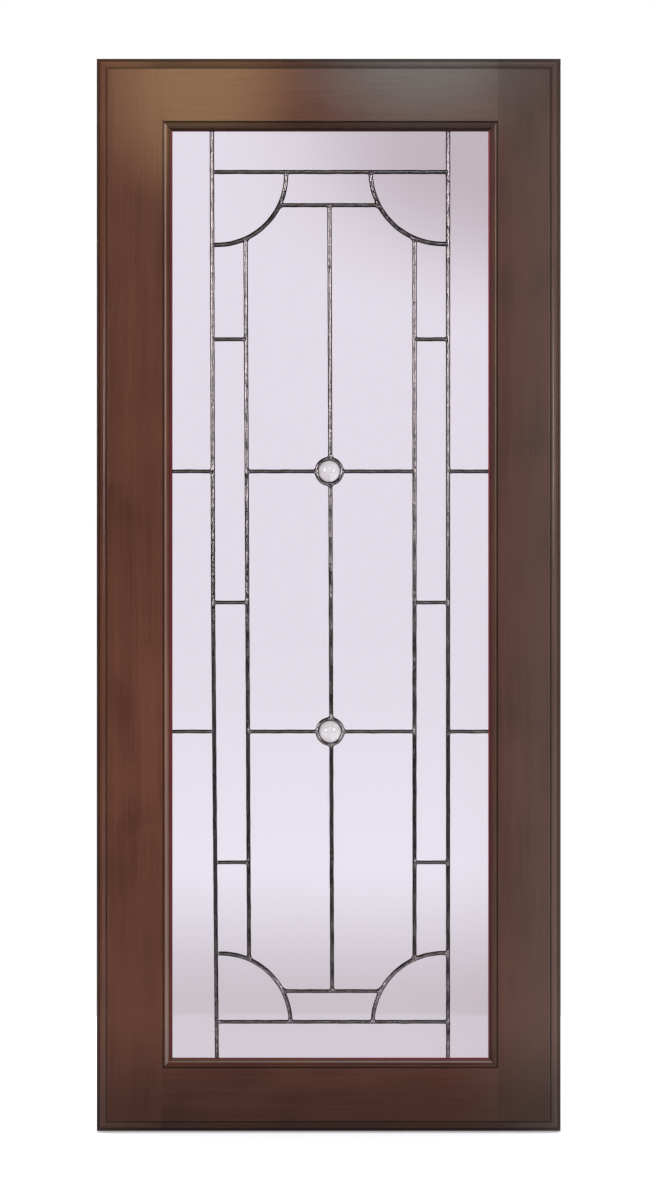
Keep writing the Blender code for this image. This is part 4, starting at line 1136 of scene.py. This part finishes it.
def studio_walls(studio):
    """The walls of the studio: white to the camera, a pale lilac backdrop through the glass and even to the wood.
    Through the glass the backdrop carries painted shade: a darker band low down for the shadow on the wall near
    the floor, and a darker patch at the upper right.

    To the gloss they are dim, with the floor's glow, a soft band, a window and a strip at the right, two narrow
    lamps to the sides, and a tawny and a grey place high up.
    """
    world = bpy.data.worlds.new("studio_walls")
    bpy.context.scene.world = world
    world.use_nodes = True
    world.cycles.sampling_method = "NONE"
    bench = Bench(world.node_tree)
    look = bench.node("ShaderNodeTexCoord", output="Generated")
    x, z = bench.part(look, 0), bench.part(look, 2)
    backdrop = bench.mix(bench.soft(z, -0.090, -0.010), (0.918, 0.892, 0.957), (0.858, 0.821, 0.886))
    # Painted shade in the backdrop: a darker band low down for the shadow on the wall near the floor, with the floor
    # lighter below it, and a darker patch at the upper right and towards the lower right.
    low = bench.soft(z, -0.1250, -0.079, 1.0, 0.0) - bench.soft(z, -0.1276, -0.1264, 0.24, 0.0)
    corner = (bench.soft(x, -0.034, 0.032) * bench.soft(z + x * 0.30, 0.094, 0.144)
              + bench.soft(x, 0.020, 0.060) * bench.soft(z, -0.10, 0.05, 0.13, 0.0))
    backdrop = bench.dim(backdrop, 1.0 - low * 0.270 - corner * 0.30, 1.0 - low * 0.315 - corner * 0.36,
                         1.0 - low * 0.325 - corner * 0.37)
    high = bench.between(z, 0.136, 0.166, 0.24, 0.32)
    tawny = high * bench.between(x, -0.090, -0.045, -0.035, -0.005)
    grey = high * bench.between(x, -0.030, 0.035, 0.045, 0.070)
    band = bench.between(z, -0.03, 0.15, 0.22, 0.40) * bench.soft(x * x, 0.10, 0.60, 1.0, 0.1)
    window = bench.soft(x, 0.30, 0.50) * bench.between(z, 0.30, 0.50, 0.60, 0.80)
    strip = bench.between(x, 0.46, 0.58, 0.84, 0.92, 0.2)
    wide = (x * x) ** 0.5
    lamps = bench.between(wide, 0.30, 0.32, 0.37, 0.39) * bench.between(z, 0.005, 0.050, 0.17, 0.24)
    floor = bench.soft(z, -0.138, -0.128, 0.66, 0.0) * bench.soft(wide, 0.04, 0.20, 0.30, 1.0)
    glow = floor + band * 0.05 + window * 0.7 + strip * 0.20 + lamps * 11.5
    channels = ((0.014, 1.0, 1.3, 2.0), (0.012, 0.94, 0.95, 2.2), (0.014, 0.97, 0.6, 2.2))
    gloss = bench.node("ShaderNodeCombineColor", inputs={
        n: dim + glow * g + tawny * t + grey * y for n, (dim, g, t, y) in enumerate(channels)})
    walls = (studio.ambient, studio.ambient, studio.ambient * 1.02)
    colour = walls
    for kind, seen in (("Glossy", gloss), ("Transmission", backdrop), ("Camera", (1.0, 1.0, 1.0))):
        colour = bench.mix(bench.node("ShaderNodeLightPath", output="Is %s Ray" % kind), colour, seen)
    shader = bench.node("ShaderNodeBackground", inputs={"Color": colour, "Strength": 1.0})
    bench.node("ShaderNodeOutputWorld", inputs={"Surface": shader})


def studio_camera(studio):
    """A level camera straight in front, with a long lens, that frames the leaf as the photo does."""
    data = bpy.data.cameras.new("studio_camera")
    data.sensor_fit = "VERTICAL"
    data.sensor_height = 36.0
    data.lens = 36.0 * studio.distance / studio.view_height
    data.clip_start, data.clip_end = 0.01, 100.0
    camera = bpy.data.objects.new("studio_camera", data)
    bpy.context.scene.collection.objects.link(camera)
    camera.location = ((LEAF_LOW.x + LEAF_HIGH.x) / 2 + studio.aim_across, LEAF_LOW.y - studio.distance,
                       studio.aim_up)
    camera.rotation_euler = (math.pi / 2, 0.0, 0.0)
    bpy.context.scene.camera = camera


class DOOR_OT_studio(bpy.types.Operator):
    """Sets up the floor, the walls, the lights and the camera"""
    bl_idname = "door.studio"
    bl_label = "Studio"

    def execute(self, context):
        studio = context.scene.door_studio
        middle = (LEAF_LOW.x + LEAF_HIGH.x) / 2
        studio_floor(studio)
        studio_walls(studio)
        side, front = studio.side_power, (middle, 0.0, 0.1)
        for light in (("side_light_left", (middle - 1.25, -3.2, 0.66), front, 0.45, 1.1, side),
                      ("side_light_right", (middle + 1.25, -3.2, 0.66), front, 0.45, 1.1, side * studio.right_share),
                      ("front_light", (middle - 0.25, -1.3, 1.5), (middle, 0.0, 0.2), 1.3, 0.5, studio.key_power),
                      ("top_light", (middle, -0.1, 2.2), (middle, 0.0, 0.0), 2.4, 1.8, studio.top_power)):
            soft_light(*light)
        studio_camera(studio)
        context.scene.view_settings.view_transform = "Standard"
        return {"FINISHED"}


class DOOR_PT_tools(bpy.types.Panel):
    """Lists the door's operators in the sidebar"""
    bl_idname = "DOOR_PT_tools"
    bl_label = "Leaded Door"
    bl_space_type = "VIEW_3D"
    bl_region_type = "UI"
    bl_category = "Leaded Door"

    def draw(self, context):
        for operator in OPERATORS:
            self.layout.operator(operator.bl_idname)


OPERATORS = (DOOR_OT_joinery, DOOR_OT_beads, DOOR_OT_lattice, DOOR_OT_nuggets, DOOR_OT_panes, DOOR_OT_studio)
GROUPS = {"door_joinery": JoinerySizes, "door_seams": SeamSizes, "door_finishes": DoorFinishes,
          "door_studio": StudioSettings}


def register():
    """Makes the settings, operators and panel known to Blender."""
    for name, group in GROUPS.items():
        bpy.utils.register_class(group)
        setattr(bpy.types.Scene, name, PointerProperty(type=group))
    for operator in OPERATORS:
        bpy.utils.register_class(operator)
    bpy.utils.register_class(DOOR_PT_tools)


def unregister():
    """Takes them away again."""
    bpy.utils.unregister_class(DOOR_PT_tools)
    for operator in reversed(OPERATORS):
        bpy.utils.unregister_class(operator)
    for name, group in GROUPS.items():
        delattr(bpy.types.Scene, name)
        bpy.utils.unregister_class(group)


def main():
    """Builds everything in order."""
    register()
    for operator in OPERATORS:
        group, name = operator.bl_idname.split(".")
        getattr(getattr(bpy.ops, group), name)()


if __name__ == "__main__":
    main()
